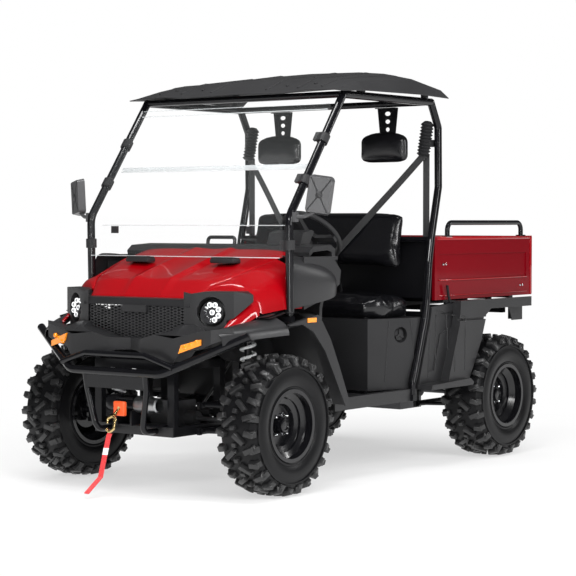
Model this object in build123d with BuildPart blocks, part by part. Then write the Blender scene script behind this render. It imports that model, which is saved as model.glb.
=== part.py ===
"""Two-seat utility side by side with a tilting cargo bed, in millimetres.

Row frame: +Z up, front towards -Y, driver's left towards +X, z = 0 on the ground,
and the origin under the middle of the vehicle's box.
"""
import os
from math import atan2, cos, degrees, radians, sin

from build123d import *

os.makedirs("parts", exist_ok=True)

# ---------------------------------------------------------------- driving sizes
FRONT_AXLE_Y = -852.0      # front axle, measured from the middle of the box
WHEELBASE = 1860.0
TRACK = 1190.0             # between the middles of the two wheels of an axle
TYRE_R = 318.0             # 25-inch class mud tyre, to the lugs' tops
LUG_H = 17.0               # lug height above the carcass
FRONT_TYRE_W = 210.0
REAR_TYRE_W = 235.0
RIM_R = 152.4              # bead seat of a 12-inch rim
RIM_LIP = 12.0             # height of the rim's flange above the bead seat
RIM_WALL = 5.0
KINGPIN_X = 520.0          # steering axis, from the middle plane
STEER_ARM = 90.0           # kingpin axis to tie rod eye, along Y
KINGPIN_R = 10.0
RUN_GAP = 0.3              # radial clearance of a turning pin
SEAT_GAP = 0.3             # gap at which a soft or resting piece lies on its seat
BODY_GAP = 6.0             # least gap between a moving piece and its neighbour

TUBE_R = 19.0              # roll cage and brush guard tube
RAIL_R = 12.5              # bed rail tube
PANEL_T = 6.0              # moulded body panels
SHEET_T = 4.0              # steel sheet

AXLE_Z = TYRE_R
RACK_R = 12.0
ROD_R = 8.0
ARM_THICK = 16.0           # steering arm of a knuckle
RACK_Z = AXLE_Z + ARM_THICK / 2 + BODY_GAP + ROD_R
REAR_AXLE_Y = FRONT_AXLE_Y + WHEELBASE
WHEEL_X = TRACK / 2

BED_HALF_W = 605.0         # outside of the bed's side panels
BED_FRONT = 1295.0         # bed's front, behind the front axle
BED_REAR = 2282.0          # bed's rear end, behind the front axle
BED_FLOOR_Z = 850.0        # top of the bed's floor
BED_SIDE_TOP = 1150.0
BED_WALL = 12.0            # double-skinned side, headboard and tailgate
BED_RAIL_TOP = 1222.0
BED_PIVOT_Y = 2165.0       # bed's turning axis, behind the front axle
BED_PIVOT_Z = 800.0
BED_PIVOT_R = 11.0

CAB_HALF_W = 605.0         # middle of the cage tubes at the pillars
ROOF_HALF_W = 659.0
SEAT_TOP = 874.0


def front(y):
    """Row y of a place given as its distance behind the front axle."""
    return FRONT_AXLE_Y + y


def rear(y):
    """Row y of a place given as its distance behind the rear axle."""
    return REAR_AXLE_Y + y


# ---------------------------------------------------------------- shared forms
def block(x, y, z, mode=Mode.ADD):
    """Rectangular piece between the low and high values of x, y and z."""
    with Locations(((x[0] + x[1]) / 2, (y[0] + y[1]) / 2, (z[0] + z[1]) / 2)):
        Box(abs(x[1] - x[0]), y[1] - y[0], z[1] - z[0], mode=mode)


def rod(points, radius, bend=0.0, mode=Mode.ADD):
    """Round bar or tube along straight runs, with corners of the radius bend."""
    with BuildLine() as route:
        if bend > 0:
            FilletPolyline(*points, radius=bend)
        else:
            Polyline(*points)
    with BuildSketch(Plane(origin=route.line @ 0, z_dir=route.line % 0)) as section:
        Circle(radius)
    sweep(sections=section.sketch, path=route.line, transition=Transition.ROUND, mode=mode)


def side_profile(points, x0, x1, mode=Mode.ADD):
    """Piece whose outline in side view is points of (y, z), from x0 to x1."""
    with BuildSketch(Plane.YZ.offset(x0)) as outline:
        with BuildLine():
            Polyline(*points, close=True)
        make_face()
    extrude(outline.sketch, amount=x1 - x0, mode=mode)


def plan_profile(points, z0, z1, mode=Mode.ADD):
    """Piece whose outline from above is points of (x, y), from z0 to z1."""
    with BuildSketch(Plane.XY.offset(z0)) as outline:
        with BuildLine():
            Polyline(*points, close=True)
        make_face()
    extrude(outline.sketch, amount=z1 - z0, mode=mode)


def front_profile(points, y0, y1, mode=Mode.ADD):
    """Piece whose outline from the front is points of (x, z), from y0 to y1."""
    with BuildSketch(Plane.XZ.offset(-y0)) as outline:
        with BuildLine():
            Polyline(*points, close=True)
        make_face()
    extrude(outline.sketch, amount=y0 - y1, mode=mode)


def band(points, thickness):
    """Closed outline of a sheet that follows points, thickness to its left."""
    inner = []
    last = len(points) - 1
    for i, (a, b) in enumerate(points):
        before = points[max(i - 1, 0)]
        after = points[min(i + 1, last)]
        heading = atan2(after[1] - before[1], after[0] - before[0])
        inner.append((a - thickness * sin(heading), b + thickness * cos(heading)))
    return list(points) + inner[::-1]


def skin(sections, thickness):
    """Moulded skin through sections of y and its (x, z) points, thick downwards."""
    faces = []
    for y, profile in sections:
        with BuildSketch(Plane.XZ.offset(-y)) as outline:
            with BuildLine():
                under = [(x, z - thickness) for x, z in reversed(profile)]
                Polyline(*profile, *under, close=True)
            make_face()
        faces.append(outline.sketch.faces()[0])
    loft(sections=faces, ruled=True)


def finish(piece, name):
    """Name a finished piece and write it out."""
    piece.part.label = name
    export_step(piece.part, f"parts/{name}.step")


def y_shift(points, place):
    """Points of (y, z) whose y is a distance behind the front axle."""
    return [(place(y), z) for y, z in points]


# ================================================================ cage lines
BEAM_Z = (775.0, 803.0)         # cowl beam that carries the windscreen pillars
PILLAR_Y = 84.0                 # upright part of the windscreen pillars
PILLAR_FOOT_Y = 92.0
PILLAR_BEND_Z = 1247.0
PILLAR_TOP = (504.0, 1822.0)
CAGE_TOP_Z = PILLAR_TOP[1]
# y behind the front axle, and z, from the roof down to the sill
REAR_PILLAR = [(1262, CAGE_TOP_Z), (1330, 1700), (1334, 1400), (1267, 1137), (1246, 1025), (1226, 836),
               (1210, 740), (1104, 430), (1104, 372.6)]


SEAT_BAR = (1267, 1137)         # cross tube behind the seat back
SEAT_BAR_R = 15.0


def front_pillar(x):
    """Route of a windscreen pillar from its foot to the roof."""
    return [(x, front(PILLAR_FOOT_Y), BEAM_Z[1] + 0.8), (x, front(PILLAR_Y), PILLAR_BEND_Z),
            (x, front(PILLAR_TOP[0]), PILLAR_TOP[1])]


def rear_pillar(x):
    """Route of a rear pillar from the roof to the sill."""
    return [(x, front(y), z) for y, z in REAR_PILLAR]


def pillar_notch():
    """Clearance for the two pillars of the left side."""
    rod(front_pillar(CAB_HALF_W), TUBE_R + SEAT_GAP, bend=110, mode=Mode.SUBTRACT)


# ================================================================ chassis
RAIL_X = (200.0, 240.0)        # main rails, inner and outer face
CRADLE_Z = (264.0, 304.0)      # rails under the front axle
RAIL_Z = (335.0, 375.0)        # rails under cab and bed
SILL_X = (560.0, 598.0)
BED_BEARER_Z = (785.0, 815.0)
TOW_HOLE_Y = 2158.0
TOW_HOLE_R = 10.0

with BuildPart() as chassis:
    side_profile(
        y_shift([(-285, CRADLE_Z[0]), (250, CRADLE_Z[0]), (420, RAIL_Z[0]), (2100, RAIL_Z[0]),
                 (2100, RAIL_Z[1]), (400, RAIL_Z[1]), (235, CRADLE_Z[1]), (-285, CRADLE_Z[1])], front),
        *RAIL_X)
    # columns: x low, x high, y low, y high (behind the front axle), z low, z high
    for x0, x1, y0, y1, z0, z1 in [
        (200, 240, -285, -255, 304, 600),
        (200, 240, -255, 40, 560, 600),
        (200, 240, 40, 75, 290, 803),
        (200, 425, 40, 75, 740, 770),
        (200, 240, 180, 215, 304, 775),
        (200, 240, 110, 215, 775, 803),
        (240, 560, 520, 555, 335, 372),
        (240, 560, 1085, 1120, 335, 372),
        (560, 598, 500, 1140, 341, 372),
        (440, 470, 880, 910, 372, 742),
        (440, 470, 1190, 1220, 372, 742),
        (240, 470, 880, 910, 342, 372),
        (240, 470, 1190, 1220, 342, 372),
        (440, 470, 880, 1220, 712, 742),
        (200, 240, 1330, 1365, 375, 785),
        (200, 240, 2045, 2080, 375, 785),
        (200, 240, 1320, 2190, 785, 815),
        (240, 560, 1330, 1365, 740, 770),
        (240, 560, 2045, 2080, 740, 770),
    ]:
        block((x0, x1), (front(y0), front(y1)), (z0, z1))
    block((280, 620), (front(1085), front(1120)), (342, 372))
    # stub that the bed turns on
    with BuildSketch(Plane.YZ.offset(RAIL_X[1])) as stub:
        with Locations((front(BED_PIVOT_Y), BED_PIVOT_Z)):
            Circle(BED_PIVOT_R)
    extrude(stub.sketch, amount=24)
    mirror(about=Plane.YZ)
    # columns: half width, y low, y high (behind the front axle), z low, z high
    for half, y0, y1, z0, z1 in [
        (240, -285, -245, 264, 304), (240, -285, -255, 560, 600), (240, 210, 250, 264, 284),
        (240, -205, -170, 560, 599.7), (240, 420, 455, 335, 375), (240, 800, 835, 335, 375),
        (240, 1330, 1365, 335, 375),
        (240, 2060, 2100, 335, 375), (470, 880, 910, 712, 742), (470, 1190, 1220, 712, 742),
        (240, 1330, 1365, 740, 770), (240, 2045, 2080, 740, 770), (240, 40, 75, 740, 785),
    ]:
        block((-half, half), (front(y0), front(y1)), (z0, z1))
    block((-620, 620), (front(75), front(110)), BEAM_Z)
    # tow plate with its ball hole
    block((-60, 60), (front(2100), front(2190)), (340, 350))
    with Locations((0, front(TOW_HOLE_Y), 345)):
        Cylinder(TOW_HOLE_R, 30, mode=Mode.SUBTRACT)
finish(chassis, "chassis")


# ================================================================ front guard and winch
GUARD_Y = front(-414)
LOOP_SPREAD = 179.0

with BuildPart() as brush_guard:
    rod([(-629, front(-239), 726), (-272, GUARD_Y, 553), (272, GUARD_Y, 553),
         (629, front(-239), 726)], TUBE_R, bend=90)
    rod([(-333, front(-405), 585), (-LOOP_SPREAD, GUARD_Y, 632), (LOOP_SPREAD, GUARD_Y, 632),
         (333, front(-405), 585)], 14, bend=40)
    for side in (-1, 1):
        rod([(side * 181, GUARD_Y, 553), (side * 178, front(-402), 470), (side * 137, front(-384), 284),
             (side * 137, front(-289.5), 284)], 14, bend=40)
    block((-176, 176), (front(-418), front(-412)), (478, 540))
finish(brush_guard, "brush_guard")

with BuildPart() as skid_plate:
    # rounded nose, flat belly and a ramp up to the rails under the cab
    side_profile(
        y_shift([(-289, 303.7), (-289, 260), (250, 260), (310, 284), (310, 288), (250, 263.7), (-285.3, 263.7),
                 (-285.3, 303.7)], front), -236, 236)
finish(skid_plate, "skid_plate")

WINCH_Y = front(-323)
WINCH_Z = 398.0
with BuildPart() as winch:
    # columns: x start, x end, radius
    for x0, x1, radius in [(-118, -52, 42), (-52, 44, 24), (44, 62, 46), (62, 150, 39), (150, 188, 30)]:
        with BuildSketch(Plane.YZ.offset(x0)) as end:
            with Locations((WINCH_Y, WINCH_Z)):
                Circle(radius)
        extrude(end.sketch, amount=x1 - x0)
    for z in (365, 431):
        with BuildSketch(Plane.YZ.offset(-60)) as tie:
            with Locations((WINCH_Y + 30, z)):
                Circle(7)
        extrude(tie.sketch, amount=116)
    block((-60, 60), (WINCH_Y - 44, WINCH_Y - 38), (360, 436))
    block((-70, -52), (WINCH_Y - 44, WINCH_Y + 44), (350, 440))
    block((44, 62), (WINCH_Y - 44, WINCH_Y + 44), (350, 440))
    block((-110, 110), (WINCH_Y - 30, WINCH_Y + 76), (304.3, 362))
finish(winch, "winch")

HOOK_Y = WINCH_Y - 44 - SEAT_GAP
with BuildPart() as tow_hook:
    # square rubber stop against the fairlead, swivel, and open hook below it
    block((-30, 30), (HOOK_Y - 22, HOOK_Y), (355, 415))
    rod([(0, HOOK_Y - 22, 380), (0, HOOK_Y - 60, 350)], 8)
    rod([(-20, HOOK_Y - 74, 322), (-22, HOOK_Y - 68, 345), (0, HOOK_Y - 60, 356),
         (22, HOOK_Y - 68, 345), (20, HOOK_Y - 78, 300), (0, HOOK_Y - 84, 284),
         (-20, HOOK_Y - 80, 296)], 6.5, bend=9)
finish(tow_hook, "tow_hook")

STRAP_W = 26.0
STRAP_TIP_Y = front(-604)
with BuildPart() as pull_strap:
    # flat webbing hung from the hook, its lower end folded forwards
    side_profile(
        band([(HOOK_Y - 84, 279.2), (HOOK_Y - 93, 262), (HOOK_Y - 146, 90), (STRAP_TIP_Y, 28)], 5),
        -STRAP_W / 2, STRAP_W / 2)
finish(pull_strap, "pull_strap")


# ================================================================ nose
BUMPER_CORNER = (305.0, -372.0)     # x, and distance behind the front axle
LAMP_X, LAMP_Y, LAMP_Z = 405.0, -219.0, 824.0
LAMP_R = 52.0
LAMP_TURN = 24.0                    # degrees that each lamp looks outwards
LAMP_TILT = 12.0                    # degrees that it leans back
GRILLE_X = (285.0, 268.0)           # half width at the top and at the bottom
GRILLE_Z = (848.0, 745.0, 702.0)    # top, bottom corner, bottom middle
GRILLE_Y = -262.0
CELL_X = 25.0              # columns and rows of the grille net
CELL_Z = 15.0
CELL_WALL = 3.4


def lamp_plane(side, out=0.0):
    """Plane of a headlamp's lens, out millimetres in front of it."""
    turn = radians(LAMP_TURN)
    tilt = radians(LAMP_TILT)
    aim = Vector(side * sin(turn) * cos(tilt), -cos(turn) * cos(tilt), sin(tilt))
    middle = Vector(side * LAMP_X, front(LAMP_Y), LAMP_Z)
    return Plane(origin=middle + aim * out, z_dir=aim)


with BuildPart() as front_fascia:
    # lower bumper: plan outline, bevelled to a V above and cut up at the sides
    plan_profile(
        [(0, front(-305)), (110, front(-352)), (BUMPER_CORNER[0], front(BUMPER_CORNER[1])),
         (452, front(-341)), (560, front(-316)), (600, front(-286)), (600, front(-262)), (320, front(-262)),
         (0, front(-250))],
        600, 778)
    front_profile([(0, 790), (0, 728), (140, 730), (305, 712), (420, 742), (520, 758), (610, 766), (610, 790)],
                  front(-420), front(-200), mode=Mode.SUBTRACT)
    front_profile([(-10, 590), (-10, 648), (60, 646), (225, 606), (305, 606), (345, 652), (452, 674),
                   (520, 704), (560, 724), (610, 746), (610, 590)],
                  front(-420), front(-200), mode=Mode.SUBTRACT)
    # sloping apron between the grille and the bumper
    with BuildSketch(Plane.XY.offset(724)) as apron_low:
        with BuildLine():
            Polyline((0, front(-345)), (120, front(-360)), (300, front(-368)), (420, front(-345)),
                     (420, front(-250)), (0, front(-250)), close=True)
        make_face()
    with BuildSketch(Plane.XY.offset(768)) as apron_high:
        with BuildLine():
            Polyline((0, front(-290)), (120, front(-292)), (300, front(-290)), (345, front(-262)),
                     (345, front(-240)), (0, front(-240)), close=True)
        make_face()
    loft(sections=[apron_low.sketch.faces()[0], apron_high.sketch.faces()[0]], ruled=True)
    # visor over the grille with its middle tab
    side_profile(y_shift([(-276, 846), (-264, 880), (-232.3, 884), (-232.3, 846)], front), 0, 318)
    # foot on the frame's front upright
    block((206, 234), (front(-284), front(-266)), (600.3, 640))
    # lamp housing: wedge between grille and wing, with its raised outer frame
    plan_profile([(288, front(-276)), (345, front(-262)), (505, front(-190)), (545, front(-100)),
                  (500, front(-92)), (372, front(-150)), (345, front(-205)), (331, front(-237))], 742, 918)
    mirror(about=Plane.YZ)
    # hollow behind the skin
    plan_profile([(-300, front(-262)), (300, front(-262)), (300, front(-190)), (-300, front(-190))],
                 742, 846, mode=Mode.SUBTRACT)
    front_profile([(-GRILLE_X[0], GRILLE_Z[0]), (GRILLE_X[0], GRILLE_Z[0]), (GRILLE_X[1], GRILLE_Z[1]),
                   (90, GRILLE_Z[2]), (-90, GRILLE_Z[2]), (-GRILLE_X[1], GRILLE_Z[1])],
                  front(-400), front(-190), mode=Mode.SUBTRACT)
    block((-72, 72), (front(-286), front(-266.3)), (818, 850))
    for side in (-1, 1):
        # roof of the housing falls away outwards and forwards
        front_profile([(side * 280, 918), (side * 318, 906), (side * 475, 934), (side * 560, 895),
                       (side * 600, 940), (side * 280, 960)], front(-300), front(-60), mode=Mode.SUBTRACT)
        # its outer edge leans back over the cowl
        side_profile(y_shift([(-257, 735), (-257, 745.4), (-70, 895), (-40, 895), (-40, 735)], front),
                     side * 474, side * 610, mode=Mode.SUBTRACT)
        with BuildSketch(lamp_plane(side, -46)) as bowl:
            Circle(LAMP_R + 14)
        extrude(bowl.sketch, amount=120, mode=Mode.SUBTRACT)
        with BuildSketch(lamp_plane(side, -46)) as seat:
            Circle(LAMP_R + 14)
        extrude(seat.sketch, amount=8)
finish(front_fascia, "front_fascia")

with BuildPart() as headlamps:
    for side in (-1, 1):
        with BuildSketch(lamp_plane(side, -37)) as can:
            Circle(LAMP_R)
        extrude(can.sketch, amount=37)
        with BuildSketch(lamp_plane(side)) as optics:
            Circle(11)
            with PolarLocations(LAMP_R - 17, 8):
                Circle(10)
        extrude(optics.sketch, amount=-9, mode=Mode.SUBTRACT)
        with BuildSketch(lamp_plane(side, -9)) as lenses:
            Circle(8)
            with PolarLocations(LAMP_R - 17, 8):
                Circle(7.5)
        extrude(lenses.sketch, amount=6)
finish(headlamps, "headlamps")

with BuildPart() as grille:
    GRILLE_T = 4.0
    with BuildSketch(Plane.XZ.offset(-front(GRILLE_Y))) as net:
        with BuildLine():
            Polyline((-GRILLE_X[0], GRILLE_Z[0]), (GRILLE_X[0], GRILLE_Z[0]), (GRILLE_X[1], GRILLE_Z[1]),
                     (90, GRILLE_Z[2]), (-90, GRILLE_Z[2]), (-GRILLE_X[1], GRILLE_Z[1]), close=True)
        make_face()
        # honeycomb openings, row by row inside the rim
        for column in range(-10, 11):
            for row in range(10):
                x = column * CELL_X
                z = GRILLE_Z[2] + 13 + (row + 0.5 * (column % 2)) * CELL_Z
                low = max(GRILLE_Z[2], GRILLE_Z[2] + (abs(x) + CELL_X * 2 / 3 - 90) * 0.242)
                if z - CELL_Z / 2 < low + 3 or z + CELL_Z / 2 > GRILLE_Z[0] - 3 or abs(x) > GRILLE_X[1] - 20:
                    continue
                with BuildLine():
                    a, b = CELL_X * 2 / 3 - CELL_WALL / 2, CELL_Z / 2 - CELL_WALL / 2
                    Polyline((x - a, z), (x - a / 2, z + b), (x + a / 2, z + b), (x + a, z), (x + a / 2, z - b),
                             (x - a / 2, z - b), close=True)
                make_face(mode=Mode.SUBTRACT)
    extrude(net.sketch, amount=GRILLE_T)
finish(grille, "grille")

with BuildPart() as radiator:
    block((-215, 215), (front(-205), front(-170)), (600, 838))
finish(radiator, "radiator")

with BuildPart() as signal_lamps:
    # lens strips on the bumper's corners, and a marker on each wing
    for side in (-1, 1):
        with BuildSketch(Plane(origin=(side * 392, front(-357), 680), x_dir=(side * 1, 0.165, 0.0),
                               z_dir=(side * 0.165, -1, 0))) as strip:
            with BuildLine():
                Polyline((-56, -34), (58, 6), (58, 32), (-42, 4), close=True)
            make_face()
        extrude(strip.sketch, amount=8)
        block((side * 700.3, side * 703.5), (front(95), front(160)), (775, 795))
finish(signal_lamps, "signal_lamps")

# ================================================================ red bodywork
# columns: distance behind the front axle, then z at the middle, ridge, valley, shoulder and seam,
# and the seam's x
HOOD = [
    (-232, 881, 887, 882, 885, 880, 322),
    (-205, 912, 916, 908, 906, 896, 330),
    (-150, 964, 974, 960, 958, 945, 356),
    (60, 1026, 1040, 1022, 1030, 1022, 415),
    (290, 1096, 1106, 1096, 1094, 1082, 452),
]
HOOD_T = 6.0

with BuildPart() as hood:
    sections = []
    for y, middle, ridge, valley, shoulder, seam, seam_x in HOOD:
        half = [(0, middle), (105, ridge), (150, valley), (seam_x * 0.78, shoulder), (seam_x, seam)]
        sections.append((front(y), [(-x, z) for x, z in reversed(half[1:])] + half))
    skin(sections, HOOD_T)
finish(hood, "hood")

# columns: distance behind the front axle, then x and z at seam, shoulder, flank and foot
COWL = [
    (-240, (485, 757), (490, 756), (496, 755), (502, 752)),
    (-160, (485, 820), (498, 812), (522, 792), (536, 770)),
    (-90, (485, 876), (505, 870), (545, 850), (556, 802)),
    (-80, (403, 975), (455, 952), (535, 900), (562, 812)),
    (60, (429, 1021), (500, 985), (580, 915), (600, 834)),
    (185, (450, 1056), (520, 1030), (588, 960), (604, 832)),
]
with BuildPart() as side_cowls:
    faces = []
    for y, *half in COWL:
        with BuildSketch(Plane.XZ.offset(-front(y))) as ring:
            with BuildLine():
                Polyline(*half, *[(x - PANEL_T - 2, z - PANEL_T + 2) for x, z in reversed(half)], close=True)
            make_face()
        faces.append(ring.sketch.faces()[0])
    loft(sections=faces, ruled=True)
    pillar_notch()
    mirror(about=Plane.YZ)
finish(side_cowls, "side_cowls")

FLARE_X = (604.0, 700.0)
FLARE_TOP = [(-335, 776), (-64, 806), (40, 824), (150, 818), (192, 799), (276, 690), (345, 560), (434, 378)]
FLARE_LIP = [(-335, 716), (-64, 763), (60, 768), (140, 734), (232, 640), (300, 530), (392, 378)]
with BuildPart() as fender_flares:
    side_profile(y_shift(FLARE_TOP + FLARE_LIP[::-1], front), *FLARE_X)
    side_profile(y_shift([(-340, 700)] + [(y, z - 6) for y, z in FLARE_TOP[:4]] + [(186, 794), (268, 686),
                 (337, 556), (422, 370), (380, 370), (292, 530), (222, 640), (140, 724), (60, 750), (-64, 745)],
                 front), FLARE_X[0] - 1, FLARE_X[1] - 8, mode=Mode.SUBTRACT)
    # ledge inboard to the cowl
    side_profile(y_shift(band([(-262, 779), (-64, 800), (40, 818), (150, 812)], 6), front), 565, 605)
    # plan taper at the front, where the flare runs into the bumper
    plan_profile([(720, front(-400)), (720, front(-60)), (700, front(-60)), (664, front(-230)),
                  (600, front(-310)), (600, front(-400))], 600, 900, mode=Mode.SUBTRACT)
    pillar_notch()
    mirror(about=Plane.YZ)
finish(fender_flares, "fender_flares")

with BuildPart() as wheel_wells:
    # wall behind the wheel, roof over it, and the inner wall beside the cradle
    side_profile(y_shift(band([(262, 765), (330, 640), (400, 520), (420, 400)], -5), front), 330, 596)
    side_profile(y_shift(band([(-180, 700), (-100, 735), (262, 765)], -5), front), 330, 596)
    side_profile(y_shift([(-180, 700), (-100, 735), (262, 765), (330, 640), (400, 520), (420, 400), (300, 400),
                          (230, 560), (-40, 600)], front), 322, 330)
    # cut out round the shock and its tower
    block((310, 445), (front(-5), front(100)), (690, 800), mode=Mode.SUBTRACT)
    mirror(about=Plane.YZ)
finish(wheel_wells, "wheel_wells")

# ================================================================ cab
with BuildPart() as roll_cage:
    for side in (-1, 1):
        x = side * CAB_HALF_W
        rod(front_pillar(x), TUBE_R, bend=110)
        rod(rear_pillar(x), TUBE_R, bend=40)
        rod([(x, front(PILLAR_TOP[0]), PILLAR_TOP[1]), (x, front(REAR_PILLAR[0][0]), CAGE_TOP_Z)], TUBE_R)
        with Locations((x, front(PILLAR_TOP[0]), PILLAR_TOP[1]), (x, front(REAR_PILLAR[0][0]), CAGE_TOP_Z)):
            Sphere(TUBE_R + 0.5)
    for y, z in [(PILLAR_TOP[0], PILLAR_TOP[1]), (REAR_PILLAR[0][0], CAGE_TOP_Z)]:
        rod([(-CAB_HALF_W, front(y), z), (CAB_HALF_W, front(y), z)], TUBE_R - 3)
    rod([(-CAB_HALF_W, front(SEAT_BAR[0]), SEAT_BAR[1]), (CAB_HALF_W, front(SEAT_BAR[0]), SEAT_BAR[1])],
        SEAT_BAR_R)
finish(roll_cage, "roll_cage")

# columns: distance behind the front axle, then z at the rim, edge, shoulder and crown
ROOF = [
    (430, 1836, 1842, 1846, 1842),
    (610, 1846, 1888, 1910, 1914),
    (1076, 1852, 1926, 1960, 1980),
    (1344, 1846, 1886, 1912, 1922),
]
ROOF_T = 5.0
with BuildPart() as roof:
    sections = []
    for y, rim, edge, shoulder, crown in ROOF:
        half = [(0, crown), (300, crown - 6), (450, shoulder), (612, edge), (ROOF_HALF_W, rim)]
        sections.append((front(y), [(-x, z) for x, z in reversed(half[1:])] + half))
    skin(sections, ROOF_T)
    # feet that stand on the cage's side tubes
    for y0, y1, top in [(640, 680, 1888), (1200, 1230, 1901)]:
        block((585, 611), (front(y0), front(y1)), (CAGE_TOP_Z + TUBE_R + SEAT_GAP, top))
        block((-611, -585), (front(y0), front(y1)), (CAGE_TOP_Z + TUBE_R + SEAT_GAP, top))
finish(roof, "roof")

GLASS_T = 5.0
GLASS_X = 588.0
GLASS_OUT = 30.0                # glass in front of the pillars' middle line
GLASS_LOW = 1064.0
GLASS_TOP = 1800.0
PILLAR_LEAN = atan2(PILLAR_TOP[0] - PILLAR_Y, PILLAR_TOP[1] - PILLAR_BEND_Z)
bend_z = PILLAR_BEND_Z + GLASS_OUT * sin(PILLAR_LEAN / 2) / cos(PILLAR_LEAN / 2)
glass_y = PILLAR_Y - GLASS_OUT


def glass_line(z):
    """y of the glass's outer face at a height, behind the front axle."""
    return glass_y + max(z - bend_z, 0) * sin(PILLAR_LEAN) / cos(PILLAR_LEAN)


with BuildPart() as windshield:
    side_profile(y_shift(band([(glass_y, GLASS_LOW), (glass_y, bend_z), (glass_line(GLASS_TOP), GLASS_TOP)],
                              -GLASS_T), front), -GLASS_X, GLASS_X)
    # mask off the two top corners
    with BuildSketch(Plane.XZ) as corners:
        for side in (-1, 1):
            with BuildLine():
                Polyline((side * 530, 1810), (side * 575, 1770), (side * 600, 1770), (side * 600, 1810),
                         close=True)
            make_face()
    extrude(corners.sketch, amount=1000, both=True, mode=Mode.SUBTRACT)
finish(windshield, "windshield")

# heights of the clamps on each pillar
CLAMP_Z = (1608.0, 1413.0, 1122.0)
pad_face = GLASS_OUT - GLASS_T - SEAT_GAP
with BuildPart() as screen_clamps:
    for side in (-1, 1):
        for z in CLAMP_Z:
            if z > PILLAR_BEND_Z:
                y = PILLAR_Y + (z - PILLAR_BEND_Z) * sin(PILLAR_LEAN) / cos(PILLAR_LEAN)
                lean = PILLAR_LEAN
            else:
                fall = (PILLAR_BEND_Z - z) / (PILLAR_BEND_Z - BEAM_Z[1])
                y = PILLAR_Y + (PILLAR_FOOT_Y - PILLAR_Y) * fall
                lean = atan2(PILLAR_Y - PILLAR_FOOT_Y, PILLAR_BEND_Z - BEAM_Z[1])
            at = Plane(origin=(side * CAB_HALF_W, front(y), z), x_dir=(1, 0, 0), z_dir=(0, sin(lean), cos(lean)))
            with BuildSketch(at.offset(-22)) as collar:
                Circle(TUBE_R + 7)
                with Locations((-side * 24, -(10 + pad_face) / 2)):
                    Rectangle(28, pad_face - 10)
                Circle(TUBE_R + SEAT_GAP, mode=Mode.SUBTRACT)
            extrude(collar.sketch, amount=44)
        # rubber foot of the glass on the hood
        block((side * 195, side * 323), (front(30), front(80)), (1046, GLASS_LOW - SEAT_GAP))
        block((side * 396, side * 430), (front(glass_y - 17), front(glass_y - SEAT_GAP)), (1172, 1206))
finish(screen_clamps, "screen_clamps")

MIRROR_X = CAB_HALF_W + 124.0
MIRROR_Z = 1347.0
MIRROR_TURN = 28.0         # of the glass towards the driver
MIRROR_LEAN = 8.0          # of its top outwards
MIRROR_SIZE = (118, 176)


def mirror_plane(side, out=0.0):
    """Plane of a mirror's rear face, out millimetres in front of it."""
    turn = radians(MIRROR_TURN)
    aim = Vector(side * sin(turn), -cos(turn), 0)
    return Plane(origin=Vector(side * MIRROR_X, front(150), MIRROR_Z) + aim * out,
                 x_dir=(cos(turn), side * sin(turn), 0), z_dir=aim)


with BuildPart() as mirrors:
    for side in (-1, 1):
        with BuildSketch(mirror_plane(side)) as shell:
            RectangleRounded(*MIRROR_SIZE, 22, rotation=-side * MIRROR_LEAN)
        extrude(shell.sketch, amount=36, taper=12)
        with BuildSketch(mirror_plane(side)) as glass_seat:
            RectangleRounded(MIRROR_SIZE[0] - 10, MIRROR_SIZE[1] - 10, 18, rotation=-side * MIRROR_LEAN)
        extrude(glass_seat.sketch, amount=6, mode=Mode.SUBTRACT)
        rod([(side * (CAB_HALF_W + TUBE_R + 2), front(98), 1250), (side * (CAB_HALF_W + 67), front(110), 1250),
             (side * (MIRROR_X - 2), front(127), 1277)], 9, bend=20)
        block((side * (CAB_HALF_W + TUBE_R + SEAT_GAP), side * (CAB_HALF_W + TUBE_R + 14)),
              (front(82), front(112)), (1226, 1270))
finish(mirrors, "mirrors")

with BuildPart() as mirror_glass:
    for side in (-1, 1):
        with BuildSketch(mirror_plane(side, 1.0)) as plate:
            RectangleRounded(MIRROR_SIZE[0] - 11, MIRROR_SIZE[1] - 11, 17.5, rotation=-side * MIRROR_LEAN)
        extrude(plate.sketch, amount=4.9)
finish(mirror_glass, "mirror_glass")

WHEEL_AT = Vector(330, front(628), 1160)        # middle of the steering wheel
WHEEL_LEAN = 45.0                               # of its axis from upright
WHEEL_RING_R = 150.0
WHEEL_GRIP_R = 13.0
COLUMN_PIN_R = 9.0
COLUMN_R = 24.0
wheel_axis = Vector(0, sin(radians(WHEEL_LEAN)), cos(radians(WHEEL_LEAN)))
wheel_plane = Plane(origin=WHEEL_AT, x_dir=(1, 0, 0), z_dir=wheel_axis)

with BuildPart() as dash:
    # cowl panel behind the hood, binnacle roll and the face below it
    side_profile(y_shift([(296, 1085), (330, 1112), (470, 1120), (505, 1100), (505, 1020), (440, 930),
                          (400, 820), (400, 700), (330, 640), (326, 660), (380, 720), (380, 830),
                          (420, 945), (478, 1030), (478, 1085), (440, 1094), (330, 1086), (302, 1066)],
                         front), -560, 560)
    # instrument pod
    side_profile(y_shift([(400, 1112), (430, 1175), (500, 1188), (515, 1180), (470, 1112)], front), 230, 430)
    # closing walls at the sides
    side_profile(y_shift([(200, 1068), (302, 1066), (430, 1060), (490, 1000), (480, 935), (360, 872),
                          (200, 826)], front), 596, 604)
    side_profile(y_shift([(200, 1068), (302, 1066), (430, 1060), (490, 1000), (480, 935), (360, 872),
                          (200, 826)], front), -604, -596)
    block((560, 600), (front(302), front(470)), (1050, 1066))
    block((-600, -560), (front(302), front(470)), (1050, 1066))
    with BuildSketch(wheel_plane.offset(-330)) as column_way:
        Circle(COLUMN_R + SEAT_GAP)
    extrude(column_way.sketch, amount=320, mode=Mode.SUBTRACT)
finish(dash, "dash")

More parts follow.
